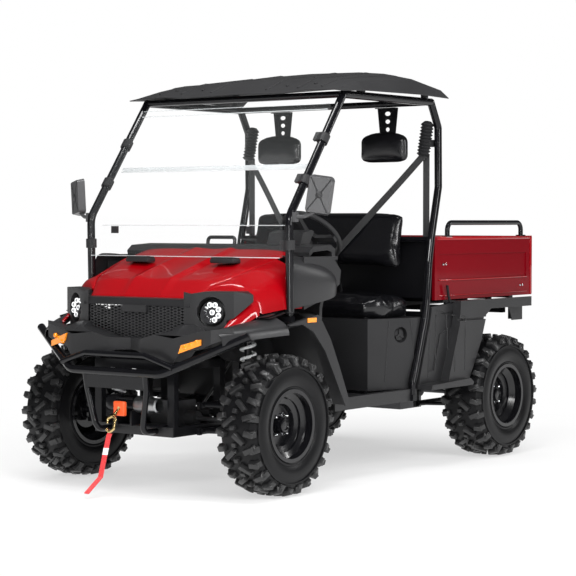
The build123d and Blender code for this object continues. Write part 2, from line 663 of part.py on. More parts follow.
with BuildPart() as steering_wheel:
    with BuildSketch(Plane(origin=WHEEL_AT, x_dir=(1, 0, 0), z_dir=(0, -cos(radians(WHEEL_LEAN)),
                                                                  sin(radians(WHEEL_LEAN))))) as grip:
        with Locations((WHEEL_RING_R, 0)):
            Circle(WHEEL_GRIP_R)
    revolve(grip.sketch, axis=Axis(WHEEL_AT, wheel_axis))
    with BuildSketch(wheel_plane.offset(-30)) as spokes:
        Circle(46)
        for angle in (0, 180, 270):
            with Locations(Location((78 * cos(radians(angle)), 78 * sin(radians(angle))), angle)):
                Rectangle(150, 30)
    extrude(spokes.sketch, amount=22)
    with BuildSketch(wheel_plane.offset(-46)) as bore:
        Circle(COLUMN_PIN_R + RUN_GAP)
    extrude(bore.sketch, amount=30, mode=Mode.SUBTRACT)
finish(steering_wheel, "steering_wheel")

with BuildPart() as steering_column:
    with BuildSketch(wheel_plane.offset(-250)) as sleeve:
        Circle(COLUMN_R)
    extrude(sleeve.sketch, amount=250 - 30 - BODY_GAP)
    with BuildSketch(wheel_plane.offset(-40)) as pin:
        Circle(COLUMN_PIN_R)
    extrude(pin.sketch, amount=22)
    # lower shaft to the rack, and the rack's housing
    joint_low = WHEEL_AT - wheel_axis * 330
    rod([WHEEL_AT - wheel_axis * 249, joint_low], 10)
    rod([joint_low, Vector(70, front(STEER_ARM) + 12, RACK_Z + 18)], 9)
    with Locations(joint_low):
        Sphere(13)
    with BuildSketch(Plane.YZ.offset(-150)) as housing:
        with Locations((front(STEER_ARM), RACK_Z)):
            Circle(22)
            Circle(RACK_R + RUN_GAP, mode=Mode.SUBTRACT)
    extrude(housing.sketch, amount=300)
finish(steering_column, "steering_column")

with BuildPart() as controls:
    # pedals on their arms, shift lever and grab bar
    for x in (250, 350):
        block((x, x + 60), (front(452), front(460)), (500, 560))
        rod([(x + 30, front(456), 550), (x + 30, front(425), 640), (x + 30, front(407), 745)], 6)
    rod([(240, front(407), 745), (430, front(407), 745)], 6.7)
    rod([(60, front(509.4), 1046), (60, front(560), 1090)], 7)
    with Locations((60, front(566), 1096)):
        Sphere(17)
    rod([(-80, front(508), 1070), (-80, front(545), 1080), (-80, front(555), 1150), (-250, front(555), 1150),
         (-250, front(545), 1080), (-250, front(508), 1070)], 9, bend=18)
finish(controls, "controls")

with BuildPart() as floor:
    # tread plate, toe board and sill trims
    side_profile(y_shift(band([(860, 380), (420, 380), (340, 560), (340, 640)], -PANEL_T), front), -322, 322)
    block((-598, 598), (front(430), front(860)), (375, 386))
    for side in (-1, 1):
        block((side * 570, side * (CAB_HALF_W + 1)), (front(440), front(1082)), (375, 400))
        block((side * 598.3, side * (CAB_HALF_W + 1)), (front(440), front(1082)), (341, 375))
finish(floor, "floor")

SEAT_BASE_PLAN = [(0, 862), (500, 862), (592, 1120), (592, 1232), (0, 1232)]
face_run = Vector(592 - 500, 1120 - 862, 0).normalized()
FILLER_PLANE = Plane(origin=(500 + face_run.X * 201, front(862) + face_run.Y * 201, 669),
                     x_dir=(0, 0, 1), z_dir=(face_run.Y, -face_run.X, 0))
with BuildPart() as seat_base:
    plan_profile([(x, front(y)) for x, y in SEAT_BASE_PLAN], 400.3, 751)
    mirror(about=Plane.YZ)
    inner = [(0, 862 + PANEL_T), (496, 862 + PANEL_T), (584, 1122), (584, 1232 - PANEL_T), (0, 1232 - PANEL_T)]
    for side in (-1, 1):
        plan_profile([(side * x, front(y)) for x, y in inner], 390, 745, mode=Mode.SUBTRACT)
        rod(rear_pillar(side * CAB_HALF_W), TUBE_R + 2.5, bend=40, mode=Mode.SUBTRACT)
    # filler cup and its cap in the left side
    with BuildSketch(FILLER_PLANE) as cup:
        Circle(44)
    extrude(cup.sketch, amount=-36)
    with BuildSketch(FILLER_PLANE) as mouth:
        Circle(39)
    extrude(mouth.sketch, amount=-28, mode=Mode.SUBTRACT)
    with BuildSketch(FILLER_PLANE.offset(-28)) as cap:
        Circle(27)
    extrude(cap.sketch, amount=14)
    with BuildSketch(FILLER_PLANE.offset(-14)) as grip_bars:
        for angle in (0, 120, 240):
            with Locations(Location((13 * cos(radians(angle)), 13 * sin(radians(angle))), angle)):
                Rectangle(26, 9)
    extrude(grip_bars.sketch, amount=8)
finish(seat_base, "seat_base")

with BuildPart() as seat_cushion:
    plan_profile([(-480, front(850)), (480, front(850)), (548, front(930)), (552, front(1180)),
                  (-552, front(1180)), (-548, front(930))], 751.3, SEAT_TOP)
finish(seat_cushion, "seat_cushion")

with BuildPart() as seat_back:
    side_profile(y_shift([(1150, 985), (1140, 1060), (1200, 1298), (1258, 1298), (1236, 1100), (1222, 985)],
                         front), -482, 482)
    # pads that rest against the cross tube
    for x in (-300, 300):
        block((x - 24, x + 24), (front(1234), front(SEAT_BAR[0] - SEAT_BAR_R - SEAT_GAP)),
              (SEAT_BAR[1] - 12, SEAT_BAR[1] + 12))
finish(seat_back, "seat_back")

with BuildPart() as headrests:
    for side in (-1, 1):
        x = side * 334
        with BuildSketch(Plane.XZ.offset(-front(1235))) as pad:
            with Locations((x, 1600)):
                RectangleRounded(290, 136, 66)
        extrude(pad.sketch, amount=-44)
        block((x - 36, x + 36), (front(1279), front(1283)), (1560, CAGE_TOP_Z - TUBE_R))
        block((x - 36, x + 36), (front(1255), front(1283)), (CAGE_TOP_Z - TUBE_R - 4, CAGE_TOP_Z - TUBE_R + 2.7))
finish(headrests, "headrests")

BELT_W = 46.0
BUCKLE_TOP = 1060.0
BOOT_LOW = 1560.0
with BuildPart() as belt_reels:
    for side in (-1, 1):
        # bellows boot on the pillar and the two buckle stalks
        with BuildSketch(Plane.XY.offset(BOOT_LOW)) as boot:
            with Locations((side * 556, front(1290))):
                Circle(26)
        extrude(boot.sketch, amount=150)
        block((side * 556, side * (CAB_HALF_W - TUBE_R - SEAT_GAP)), (front(1285), front(1337)), (1600, 1640))
        rod([(side * 110, front(1196), 760), (side * 110, front(1194), 900), (side * 112, front(1128), 950),
             (side * 116, front(1112), 1010)], 8, bend=24)
        block((side * 99, side * 135), (front(1097), front(1126)), (1000, BUCKLE_TOP))
finish(belt_reels, "belt_reels")

with BuildPart() as belt_webbing:
    for side in (-1, 1):
        high = Vector(side * 556, front(1276), BOOT_LOW + 8)
        low = Vector(side * 117, front(1112), 1048)
        run = low - high
        with BuildSketch(Plane(origin=high, x_dir=run.cross(Vector(0, 1, 0)), z_dir=run)) as tape:
            Rectangle(BELT_W, 2.4)
        extrude(tape.sketch, amount=run.length)
        block((side * 60, side * 190), (front(1060), front(1180)), (960, BUCKLE_TOP + SEAT_GAP), mode=Mode.SUBTRACT)
        block((side * 500, side * 600), (front(1200), front(1320)), (BOOT_LOW - SEAT_GAP, 1600), mode=Mode.SUBTRACT)
finish(belt_webbing, "belt_webbing")

# ================================================================ rear bodywork
SIDE_X = (BED_HALF_W - 7, BED_HALF_W + 17)
ARCH_GAP = 11.0            # least gap between a tyre and the bodywork round it
with BuildPart() as rear_fenders:
    # side panel behind the seat, with its pressed recess
    side_profile(y_shift([(1254, 800), (1420, 812), (1600, 812), (1600, 700), (1520, 560),
                          (1440, 400), (1130, 400), (1134, 426), (1240, 740)], front), *SIDE_X)
    side_profile(y_shift([(1280, 760), (1470, 775), (1440, 690), (1330, 660), (1270, 480), (1225, 480)], front),
                 SIDE_X[1] - 6, SIDE_X[1], mode=Mode.SUBTRACT)
    # sloping strap panel that covers the front of the wheel
    side_profile(y_shift([(1455, 826), (1700, 826), (1700, 730), (1655, 617), (1585, 500), (1520, 400),
                          (1330, 400), (1352, 470), (1440, 700)], front), SIDE_X[1], SIDE_X[1] + 46)
    side_profile(y_shift([(1440, 736), (1720, 736), (1720, 724), (1440, 724)], front), SIDE_X[1] + 33, SIDE_X[1] + 46,
                 mode=Mode.SUBTRACT)
    # step at its foot
    side_profile(y_shift([(1130, 396), (1520, 396), (1532, 410), (1500, 432), (1140, 420)], front), SIDE_X[0],
                 SIDE_X[1] + 78)
    # top flange along the bed, and the wheel arch's roof
    side_profile(y_shift([(1700, 826), (2180, 826), (2180, 776), (1760, 776), (1700, 740)], front),
                 SIDE_X[1] + 33, SIDE_X[1] + 42)
    side_profile(y_shift([(1600, 806), (2180, 806), (2180, 800), (1600, 800)], front), 470, SIDE_X[1] + 38)
    # bracket of the tail lamp under the end of the flange
    side_profile(y_shift([(2020, 800), (2182, 800), (2182, 700), (2075, 700)], front), 600, 606)
    block((520, 606), (front(2176), front(2182)), (700, 800))
    # room for the tyre
    with BuildSketch(Plane.YZ.offset(400)) as arch:
        with Locations((REAR_AXLE_Y, AXLE_Z)):
            Circle(TYRE_R + ARCH_GAP)
    extrude(arch.sketch, amount=400, mode=Mode.SUBTRACT)
    # hangers on the frame's cross bars
    for x, y in [(SIDE_X[0] + 2, 1330), (540, 2045)]:
        block((500, x), (front(y), front(y + 35)), (770 + SEAT_GAP, 802))
    mirror(about=Plane.YZ)
finish(rear_fenders, "rear_fenders")

LEVER_X = BED_HALF_W + 19
with BuildPart() as bed_latch:
    # release lever on the left rear fender, its foot on the fender's edge
    block((BED_HALF_W + 7, SIDE_X[1]), (front(1380), front(1440)), (812 + SEAT_GAP, 822))
    rod([(LEVER_X, front(1420), 820), (LEVER_X, front(1404), 850), (LEVER_X, front(1390), 905)], 7)
finish(bed_latch, "bed_latch")

with BuildPart() as tail_lamps:
    for side in (-1, 1):
        with BuildSketch(Plane.XZ.offset(-front(2182.3))) as lens:
            with Locations((side * 560, 742)):
                Circle(30)
        extrude(lens.sketch, amount=-16)
finish(tail_lamps, "tail_lamps")

# ================================================================ cargo bed
RIB_Z = BED_FLOOR_Z - 8
with BuildPart() as bed_floor:
    half = BED_HALF_W - BED_WALL
    block((-half, half), (front(BED_FRONT + BED_WALL), front(BED_REAR)), (BED_FLOOR_Z - 8, BED_FLOOR_Z))
    # headboard
    block((-half, half), (front(BED_FRONT), front(BED_FRONT + BED_WALL)), (BED_FLOOR_Z - 8, BED_SIDE_TOP))
    # hat ribs on the floor
    for x in range(-480, 481, 160):
        block((x - 22, x + 22), (front(BED_FRONT + 30), front(BED_REAR - 50)), (BED_FLOOR_Z, BED_FLOOR_Z + 6))
    # bearers and cross ribs below it
    for x0, x1 in [(-236, -204), (204, 236)]:
        block((x0, x1), (front(BED_FRONT + 30), front(BED_PIVOT_Y - 30)), (815.3, RIB_Z))
    for y in (1360, 1600, 1840, 2060):
        block((-half, half), (front(y), front(y + 40)), (820, RIB_Z))
    for side in (-1, 1):
        x0 = side * (RAIL_X[1] + BODY_GAP)
        x1 = x0 + side * 12
        block((x0, x1), (front(BED_PIVOT_Y - 22), front(BED_PIVOT_Y + 22)), (BED_PIVOT_Z - 22, RIB_Z))
        with BuildSketch(Plane.YZ.offset(x0)) as bore:
            with Locations((front(BED_PIVOT_Y), BED_PIVOT_Z)):
                Circle(BED_PIVOT_R + RUN_GAP)
        extrude(bore.sketch, amount=x1 - x0, mode=Mode.SUBTRACT)
finish(bed_floor, "bed_floor")

GATE_HALF = BED_HALF_W - BED_WALL - BODY_GAP
GATE_Y = (BED_REAR - 22, BED_REAR - 6)
GATE_PIN_R = 6.0
GATE_PIN = (BED_REAR - 14, BED_FLOOR_Z + 16)
with BuildPart() as bed_sides:
    x0 = BED_HALF_W - BED_WALL
    block((x0, BED_HALF_W), (front(BED_FRONT), front(BED_REAR)), (832, BED_SIDE_TOP))
    # pressed field with a turned ledge at its foot
    block((BED_HALF_W - 5, BED_HALF_W), (front(BED_FRONT + 50), front(BED_REAR - 60)), (930, 1062),
          mode=Mode.SUBTRACT)
    block((BED_HALF_W - 2, BED_HALF_W + 6), (front(BED_FRONT), front(BED_FRONT + 24)), (832, BED_SIDE_TOP))
    with BuildSketch(Plane.YZ.offset(x0)) as gate_bore:
        with Locations((front(GATE_PIN[0]), GATE_PIN[1])):
            Circle(GATE_PIN_R + RUN_GAP)
    extrude(gate_bore.sketch, amount=BED_WALL - 4, mode=Mode.SUBTRACT)
    mirror(about=Plane.YZ)
finish(bed_sides, "bed_sides")

with BuildPart() as bed_rails:
    x = BED_HALF_W - BED_WALL / 2
    for y in (BED_FRONT + 135, BED_REAR - 110):
        with Locations((x, front(y), BED_SIDE_TOP + 3.3)):
            Box(26, 60, 6)
    rod([(x, front(BED_FRONT + 135), BED_SIDE_TOP + 4), (x, front(BED_FRONT + 135), BED_RAIL_TOP),
         (x, front(BED_REAR - 110), BED_RAIL_TOP), (x, front(BED_REAR - 110), BED_SIDE_TOP + 4)],
        RAIL_R, bend=40)
    mirror(about=Plane.YZ)
finish(bed_rails, "bed_rails")

with BuildPart() as tailgate:
    block((-GATE_HALF, GATE_HALF), (front(GATE_Y[0]), front(GATE_Y[1])), (BED_FLOOR_Z + BODY_GAP, BED_SIDE_TOP))
    block((-GATE_HALF + 50, GATE_HALF - 50), (front(GATE_Y[1] - 5), front(GATE_Y[1])), (930, 1062),
          mode=Mode.SUBTRACT)
    for side in (-1, 1):
        with BuildSketch(Plane.YZ.offset(side * GATE_HALF)) as pin:
            with Locations((front(GATE_PIN[0]), GATE_PIN[1])):
                Circle(GATE_PIN_R)
        extrude(pin.sketch, amount=side * (BODY_GAP + 6))
        # latch knob at each top corner
        with BuildSketch(Plane.XZ.offset(-front(GATE_Y[1]))) as knob:
            with Locations((side * (GATE_HALF - 34), 1095)):
                Circle(20)
        extrude(knob.sketch, amount=-34)
finish(tailgate, "tailgate")

# ================================================================ drive train
ENGINE = ((-190, 190), (1262, 1640), (375.3, 690))
GEARBOX_HALF = 105.0
DIFF_HALF = 80.0
SHAFT_R = 12.0
BOOT_R = 26.0
PROP_Z = 306.0
with BuildPart() as engine:
    block(ENGINE[0], (front(ENGINE[1][0]), front(ENGINE[1][1])), ENGINE[2])
finish(engine, "engine")

with BuildPart() as driveline:
    block((-GEARBOX_HALF, GEARBOX_HALF), (rear(-110), rear(95)), (215, 430))
    block((-DIFF_HALF, DIFF_HALF), (front(-80), front(58)), (268, 400))
    for y, reach, half in [(rear(0), 488, GEARBOX_HALF), (front(0), 478, DIFF_HALF)]:
        for side in (-1, 1):
            for x0, x1, radius in [(half, half + 60, 34), (half + 60, reach - 60, SHAFT_R),
                                   (reach - 60, reach, BOOT_R)]:
                with BuildSketch(Plane.YZ.offset(side * x0)) as shaft:
                    with Locations((y, AXLE_Z)):
                        Circle(radius)
                extrude(shaft.sketch, amount=side * (x1 - x0))
    rod([(0, front(57), PROP_Z), (0, rear(-109), PROP_Z)], SHAFT_R)
finish(driveline, "driveline")

with BuildPart() as exhaust:
    rod([(-150, rear(170), 560), (150, rear(170), 560)], 70)
    rod([(60, front(1644.6), 600), (60, rear(-40), 640), (60, rear(110), 590)], 19, bend=60)
    rod([(120, rear(170), 560), (160, rear(200), 540), (172, rear(262), 520)], 17, bend=20)
finish(exhaust, "exhaust")

# ================================================================ suspension
ARM_R = 9.8
EYE_R = 24.0
LOWER_Z = 262.0 + 12
UPPER_Z = 392.0
EYE_H = 20.0
with BuildPart() as front_arms:
    for side in (-1, 1):
        for z, inner_x, feet in [(LOWER_Z, 255, (-100, 110)), (UPPER_Z, 255, (-100, -20))]:
            for fore in feet:
                rod([(side * inner_x, front(fore), z), (side * (KINGPIN_X - EYE_R + 8), front(fore * 0.12), z)],
                    ARM_R)
            with BuildSketch(Plane.XY.offset(z - EYE_H / 2)) as eye:
                with Locations((side * KINGPIN_X, front(0))):
                    Circle(EYE_R)
            extrude(eye.sketch, amount=EYE_H)
            rod([(side * inner_x, front(-118), z), (side * inner_x, front(feet[1] + 18), z)], 14)
            for y in (-128, feet[1] + 8):
                block((side * (RAIL_X[1] + SEAT_GAP), side * 256), (front(y), front(y + 18)), (z - 16, z + 16))
        with BuildSketch(Plane.XY.offset(LOWER_Z - 30)) as bore:
            with Locations((side * KINGPIN_X, front(0))):
                Circle(KINGPIN_R + RUN_GAP)
        extrude(bore.sketch, amount=UPPER_Z - LOWER_Z + 60, mode=Mode.SUBTRACT)
finish(front_arms, "front_arms")

POST_R = 20.0
SPINDLE_R = 16.0
knuckles = {}
for name, side in (("knuckle_left", 1), ("knuckle_right", -1)):
    with BuildPart() as knuckle:
        with BuildSketch(Plane.XY.offset(LOWER_Z - EYE_H / 2)) as pin:
            with Locations((side * KINGPIN_X, front(0))):
                Circle(KINGPIN_R)
        extrude(pin.sketch, amount=UPPER_Z - LOWER_Z + EYE_H)
        with BuildSketch(Plane.XY.offset(LOWER_Z + EYE_H / 2 + RUN_GAP)) as post:
            with Locations((side * KINGPIN_X, front(0))):
                Circle(POST_R)
        extrude(post.sketch, amount=UPPER_Z - LOWER_Z - EYE_H - 2 * RUN_GAP)
        with BuildSketch(Plane.YZ.offset(side * KINGPIN_X)) as spindle:
            with Locations((front(0), AXLE_Z)):
                Circle(SPINDLE_R)
        extrude(spindle.sketch, amount=side * 66)
        block((side * (KINGPIN_X - 14), side * (KINGPIN_X + 10)), (front(0), front(STEER_ARM + 12)),
              (AXLE_Z - ARM_THICK / 2, AXLE_Z + ARM_THICK / 2))
    finish(knuckle, name)
    knuckles[name] = knuckle

with BuildPart() as tie_rods:
    rod([(-230, front(STEER_ARM), RACK_Z), (230, front(STEER_ARM), RACK_Z)], RACK_R)
    for side in (-1, 1):
        rod([(side * 228, front(STEER_ARM), RACK_Z), (side * (KINGPIN_X - 2), front(STEER_ARM), RACK_Z)], ROD_R)
finish(tie_rods, "tie_rods")

with BuildPart() as rear_arms:
    for side in (-1, 1):
        for z in (262, 400):
            for fore in (-150, 110):
                rod([(side * 255, rear(fore), z), (side * 492, rear(fore * 0.3), z)], ARM_R)
            rod([(side * 255, rear(-170), z), (side * 255, rear(130), z)], 15)
        for y in (-190, 120):
            block((side * (RAIL_X[1] + SEAT_GAP), side * 256), (rear(y), rear(y + 30)), (246, 416))
        block((side * 488, side * 512), (rear(-45), rear(45)), (245, 417))
        with BuildSketch(Plane.YZ.offset(side * 512)) as spindle:
            with Locations((rear(0), AXLE_Z)):
                Circle(SPINDLE_R)
        extrude(spindle.sketch, amount=side * 74)
        with BuildSketch(Plane.YZ.offset(side * 488)) as bore:
            with Locations((rear(0), AXLE_Z)):
                Circle(BOOT_R + RUN_GAP)
        extrude(bore.sketch, amount=side * 12, mode=Mode.SUBTRACT)
finish(rear_arms, "rear_arms")

# columns: x and y of the foot, its z, x of the head and its z
SHOCKS = [
    ("front", 405, front(52), 289, 392, 739),
    ("rear", 405, rear(80), 410.8, 380, 739),
]
SHOCK_R = 17.0
CUP_R = 38.0
CUP_LOW, CUP_HIGH = 0.19, 0.92      # spring cups, as parts of the shock's length
CUP_T = 14.0
COILS = 6
with BuildPart() as shocks:
    for _, x, y, z, head_x, head_z in SHOCKS:
        foot, head = Vector(x, y, z), Vector(head_x, y, head_z)
        run = (head - foot).normalized()
        low = foot + (head - foot) * CUP_LOW
        high = foot + (head - foot) * CUP_HIGH
        rod([foot, head], SHOCK_R)
        rod([low - run * CUP_T, low], CUP_R)
        rod([high, high + run * CUP_T], CUP_R)
    mirror(about=Plane.YZ)
finish(shocks, "shocks")

with BuildPart() as springs:
    # each coil spring as a ribbed sleeve between its cups
    for _, x, y, z, head_x, head_z in SHOCKS:
        foot, head = Vector(x, y, z), Vector(head_x, y, head_z)
        run = (head - foot).normalized()
        start = foot + (head - foot) * CUP_LOW + run * SEAT_GAP
        length = (head - foot).length * (CUP_HIGH - CUP_LOW) - 2 * SEAT_GAP
        pitch = length / COILS
        outline = []
        for coil in range(COILS):
            outline += [(26, coil * pitch), (36, (coil + 0.3) * pitch), (36, (coil + 0.7) * pitch)]
        outline += [(26, length), (22, length), (22, 0)]
        with BuildSketch(Plane(origin=start, x_dir=(0, 1, 0), z_dir=Vector(0, 1, 0).cross(run))) as coils:
            with BuildLine():
                Polyline(*outline, close=True)
            make_face()
        revolve(coils.sketch, axis=Axis(start, run))
    mirror(about=Plane.YZ)
finish(springs, "springs")

# ================================================================ wheels
# columns: name, side, axle, width
WHEELS = [
    ("front_left", 1, FRONT_AXLE_Y, FRONT_TYRE_W),
    ("front_right", -1, FRONT_AXLE_Y, FRONT_TYRE_W),
    ("rear_left", 1, REAR_AXLE_Y, REAR_TYRE_W),
    ("rear_right", -1, REAR_AXLE_Y, REAR_TYRE_W),
]
HUB_R = 44.0
DISC_X = 18.0              # rim's disc, outwards of the wheel's middle


def turned(side, axle_y, profile, mode=Mode.ADD):
    """Ring about a wheel's axle; profile is points of outward offset and radius."""
    with BuildSketch(Plane(origin=(side * WHEEL_X, axle_y, AXLE_Z), x_dir=(side, 0, 0), z_dir=(0, -side, 0))) as cut:
        with BuildLine():
            Polyline(*profile, close=True)
        make_face()
    revolve(cut.sketch, axis=Axis((side * WHEEL_X, axle_y, AXLE_Z), (side, 0, 0)), mode=mode)


TYRE_SIDES = 32             # flat facets round a tyre: a lug stands on every other one
LUG_L = 19.0               # half length of a lug round the tyre
LUG_TWIST = 12.0           # slant of a lug against the axle


def tyre_section(x, radius):
    """Polygon across a tyre about X, its first side at the bottom."""
    with BuildSketch(Plane.YZ.offset(x)) as ring:
        RegularPolygon(radius, TYRE_SIDES, major_radius=False, rotation=180 / TYRE_SIDES)
    return ring.sketch.faces()[0]


def build_tyre(width):
    """Faceted carcass about X with its two staggered rows of lugs."""
    half = width / 2
    bead = half - 16.5
    carcass = [(bead, RIM_R + RIM_LIP + 3), (half - 1, RIM_R + 44), (half, RIM_R + 80),
               (half - 10, TYRE_R - LUG_H - 16), (half - 30, TYRE_R - LUG_H)]
    with BuildPart() as tyre:
        loft(sections=[tyre_section(-x, r) for x, r in carcass] + [tyre_section(x, r) for x, r in carcass[::-1]],
             ruled=True)
        with BuildPart(mode=Mode.PRIVATE) as lug:
            with BuildSketch(Plane.XZ.offset(-LUG_L)) as outline:
                with BuildLine():
                    Polyline((4, -TYRE_R + LUG_H + 8), (4, -TYRE_R), (half - 36, -TYRE_R), (half - 15, -TYRE_R + 12),
                             (half - 9, -TYRE_R + 44), (half - 40, -TYRE_R + LUG_H + 8), close=True)
                make_face()
            extrude(outline.sketch, amount=2 * LUG_L)
        left = Pos(half / 2, 0, 0) * Rot(0, 0, LUG_TWIST) * Pos(-half / 2, 0, 0) * lug.part
        right = left.mirror(Plane.YZ)
        step = 360 / TYRE_SIDES
        add([Rot(turn * step, 0, 0) * left for turn in range(0, TYRE_SIDES, 2)]
            + [Rot(turn * step, 0, 0) * right for turn in range(1, TYRE_SIDES, 2)])
        with BuildSketch(Plane.YZ.offset(-half)) as bore:
            RegularPolygon(RIM_R + SEAT_GAP, TYRE_SIDES, major_radius=False, rotation=180 / TYRE_SIDES)
        extrude(bore.sketch, amount=width, mode=Mode.SUBTRACT)
    return tyre.part


TYRES = {width: build_tyre(width) for width in (FRONT_TYRE_W, REAR_TYRE_W)}

for name, side, axle_y, width in WHEELS:
    half = width / 2
    bead = half - 16
    with BuildPart() as tyre:
        add(Pos(side * WHEEL_X, axle_y, AXLE_Z) * Rot(0, 0, 0 if side > 0 else 180) * TYRES[width])
    finish(tyre, "tyre_" + name)
    with BuildPart() as rim:
        # barrel with its drop centre and flanges
        turned(side, axle_y, [
            (-bead, RIM_R + RIM_LIP), (-bead, RIM_R - SEAT_GAP), (-bead + 34, RIM_R - SEAT_GAP),
            (-bead + 44, RIM_R - 26), (40, RIM_R - 26), (bead - 34, RIM_R - SEAT_GAP),
            (bead, RIM_R - SEAT_GAP), (bead, RIM_R + RIM_LIP), (bead + 6, RIM_R + RIM_LIP),
            (bead + 6, RIM_R - RIM_WALL), (bead - 32, RIM_R - RIM_WALL), (46, RIM_R - 26 - RIM_WALL),
            (-bead + 40, RIM_R - 26 - RIM_WALL), (-bead + 30, RIM_R - RIM_WALL), (-bead - 6, RIM_R - RIM_WALL),
            (-bead - 6, RIM_R + RIM_LIP)])
        # dished disc, hub and brake disc
        turned(side, axle_y, [
            (DISC_X + 18, RIM_R - 30), (DISC_X + 10, 96), (DISC_X - 10, 88), (DISC_X - 10, 40), (DISC_X + 22, 36),
            (DISC_X + 22, 0), (-42, 0), (-42, HUB_R), (-38, HUB_R), (-38, 88), (-34, 88), (-34, HUB_R), (-16, HUB_R),
            (-16, 60), (DISC_X - 16, 94), (DISC_X + 4, 102), (DISC_X + 12, RIM_R - 26)])
        with BuildSketch(Plane.YZ.offset(side * (WHEEL_X - 60))) as bore:
            with Locations((axle_y, AXLE_Z)):
                Circle(SPINDLE_R + RUN_GAP)
        extrude(bore.sketch, amount=side * 60, mode=Mode.SUBTRACT)
    finish(rim, "rim_" + name)
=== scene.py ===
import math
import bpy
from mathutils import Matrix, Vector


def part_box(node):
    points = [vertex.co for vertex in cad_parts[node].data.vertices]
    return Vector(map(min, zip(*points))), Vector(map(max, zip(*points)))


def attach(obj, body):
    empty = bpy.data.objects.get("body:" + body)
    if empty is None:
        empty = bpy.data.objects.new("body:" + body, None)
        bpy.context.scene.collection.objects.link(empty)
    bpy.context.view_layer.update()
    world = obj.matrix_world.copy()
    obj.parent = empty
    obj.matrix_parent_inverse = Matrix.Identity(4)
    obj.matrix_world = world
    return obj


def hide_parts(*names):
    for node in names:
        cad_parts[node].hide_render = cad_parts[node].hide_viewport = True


bl_info = {
    "name": "Side by Side Utility Vehicle",
    "version": (1, 0, 0),
    "blender": (4, 5, 0),
    "location": "View3D > Sidebar > Vehicle",
    "description": "Finishes, tyres, soft parts and small fittings of a two-seat utility vehicle",
    "category": "Object",
}

import bmesh
import bpy
from mathutils import Matrix, Vector

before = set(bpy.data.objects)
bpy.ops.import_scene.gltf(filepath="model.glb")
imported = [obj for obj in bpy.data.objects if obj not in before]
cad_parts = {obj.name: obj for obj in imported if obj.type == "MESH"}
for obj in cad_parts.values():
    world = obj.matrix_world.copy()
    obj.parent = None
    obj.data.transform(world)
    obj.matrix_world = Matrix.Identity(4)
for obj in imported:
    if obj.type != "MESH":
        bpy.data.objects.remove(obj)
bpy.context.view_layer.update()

# ---------------------------------------------------------------- places taken from the frame
def centre_of(node):
    """Centre of a solid's box."""
    low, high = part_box(node)
    return (Vector(low) + Vector(high)) / 2


TYRE_LOW, TYRE_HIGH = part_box("tyre_front_left")
AXLE_Y = {axle: centre_of(f"rim_{axle}_left").y for axle in ("front", "rear")}
AXLE_Z = (TYRE_LOW[2] + TYRE_HIGH[2]) / 2
TYRE_R = (TYRE_HIGH[2] - TYRE_LOW[2]) / 2
WHEEL_X = 0.595                 # middle of a wheel, out from the middle of the vehicle
SIDES = {"left": 1, "right": -1}


def front(y):
    """Row y of a place given in metres behind the front axle."""
    return AXLE_Y["front"] + y


# ---------------------------------------------------------------- settings
class PaintSettings(bpy.types.PropertyGroup):
    """Colours of the vehicle's finishes."""

    hood_red: bpy.props.FloatVectorProperty(
        name="Hood Red", description="Gloss red of the hood and cowls", subtype="COLOR", size=3,
        default=(0.262, 0.0003, 0.003), min=0, max=1)
    # the bed red is the hood's red darkened with painted shade; the bed sides and tailgate take this shaded
    # copy
    bed_red_painted_shade: bpy.props.FloatVectorProperty(
        name="Bed Red Painted Shade", description="Deep red of the bed sides", subtype="COLOR", size=3,
        default=(0.15, 0.0003, 0.004), min=0, max=1)
    moulded_black: bpy.props.FloatVectorProperty(
        name="Moulded Black", description="Grained black plastic", subtype="COLOR", size=3,
        default=(0.016, 0.016, 0.017), min=0, max=1)
    roof_grey: bpy.props.FloatVectorProperty(
        name="Roof Grey", description="Charcoal of the roof", subtype="COLOR", size=3,
        default=(0.020, 0.020, 0.021), min=0, max=1)


class TyreSettings(bpy.types.PropertyGroup):
    """Sizes of the tread."""

    pitches: bpy.props.IntProperty(
        name="Pitches", description="Repeats of the tread pattern round a tyre", default=13, min=6, max=30)
    lug_height: bpy.props.FloatProperty(
        name="Lug Height", description="Height of a lug above the carcass", default=0.020,
        min=0.004, max=0.03, unit="LENGTH")
    lug_bevel: bpy.props.FloatProperty(
        name="Lug Bevel", description="Rounded edge of a lug", default=0.0025, min=0.0005, max=0.01,
        unit="LENGTH")


class SeatSettings(bpy.types.PropertyGroup):
    """Sizes of the seat pads."""

    voxel: bpy.props.FloatProperty(
        name="Voxel", description="Cell size of the pads before they are inflated", default=0.008,
        min=0.004, max=0.02, unit="LENGTH")
    swell: bpy.props.FloatProperty(
        name="Swell", description="Furthest that a point of a pad may move", default=0.014,
        min=0, max=0.03, unit="LENGTH")
    pressure: bpy.props.FloatProperty(
        name="Pressure", description="Pressure inside a pad while it is inflated", default=4.0,
        min=0, max=20)


class StageSettings(bpy.types.PropertyGroup):
    """Camera and light."""

    azimuth: bpy.props.FloatProperty(
        name="Azimuth", description="Turn of the camera about the vertical", default=math.radians(36.92),
        subtype="ANGLE")
    elevation: bpy.props.FloatProperty(
        name="Elevation", description="Downward look of the camera", default=math.radians(2.05),
        subtype="ANGLE")
    lens: bpy.props.FloatProperty(
        name="Lens", description="Focal length in millimetres", default=116.9, min=20, max=300)
    eye: bpy.props.FloatVectorProperty(
        name="Eye", description="Place of the camera", default=(5.658, -7.501, 1.230), size=3,
        unit="LENGTH")


# ---------------------------------------------------------------- modelling helpers
def clear_selection():
    """Leave object mode with nothing selected."""
    if bpy.context.object and bpy.context.object.mode != "OBJECT":
        bpy.ops.object.mode_set(mode="OBJECT")
    bpy.ops.object.select_all(action="DESELECT")


def take(obj):
    """Make one object the only one selected, and active."""
    clear_selection()
    obj.select_set(True)
    bpy.context.view_layer.objects.active = obj


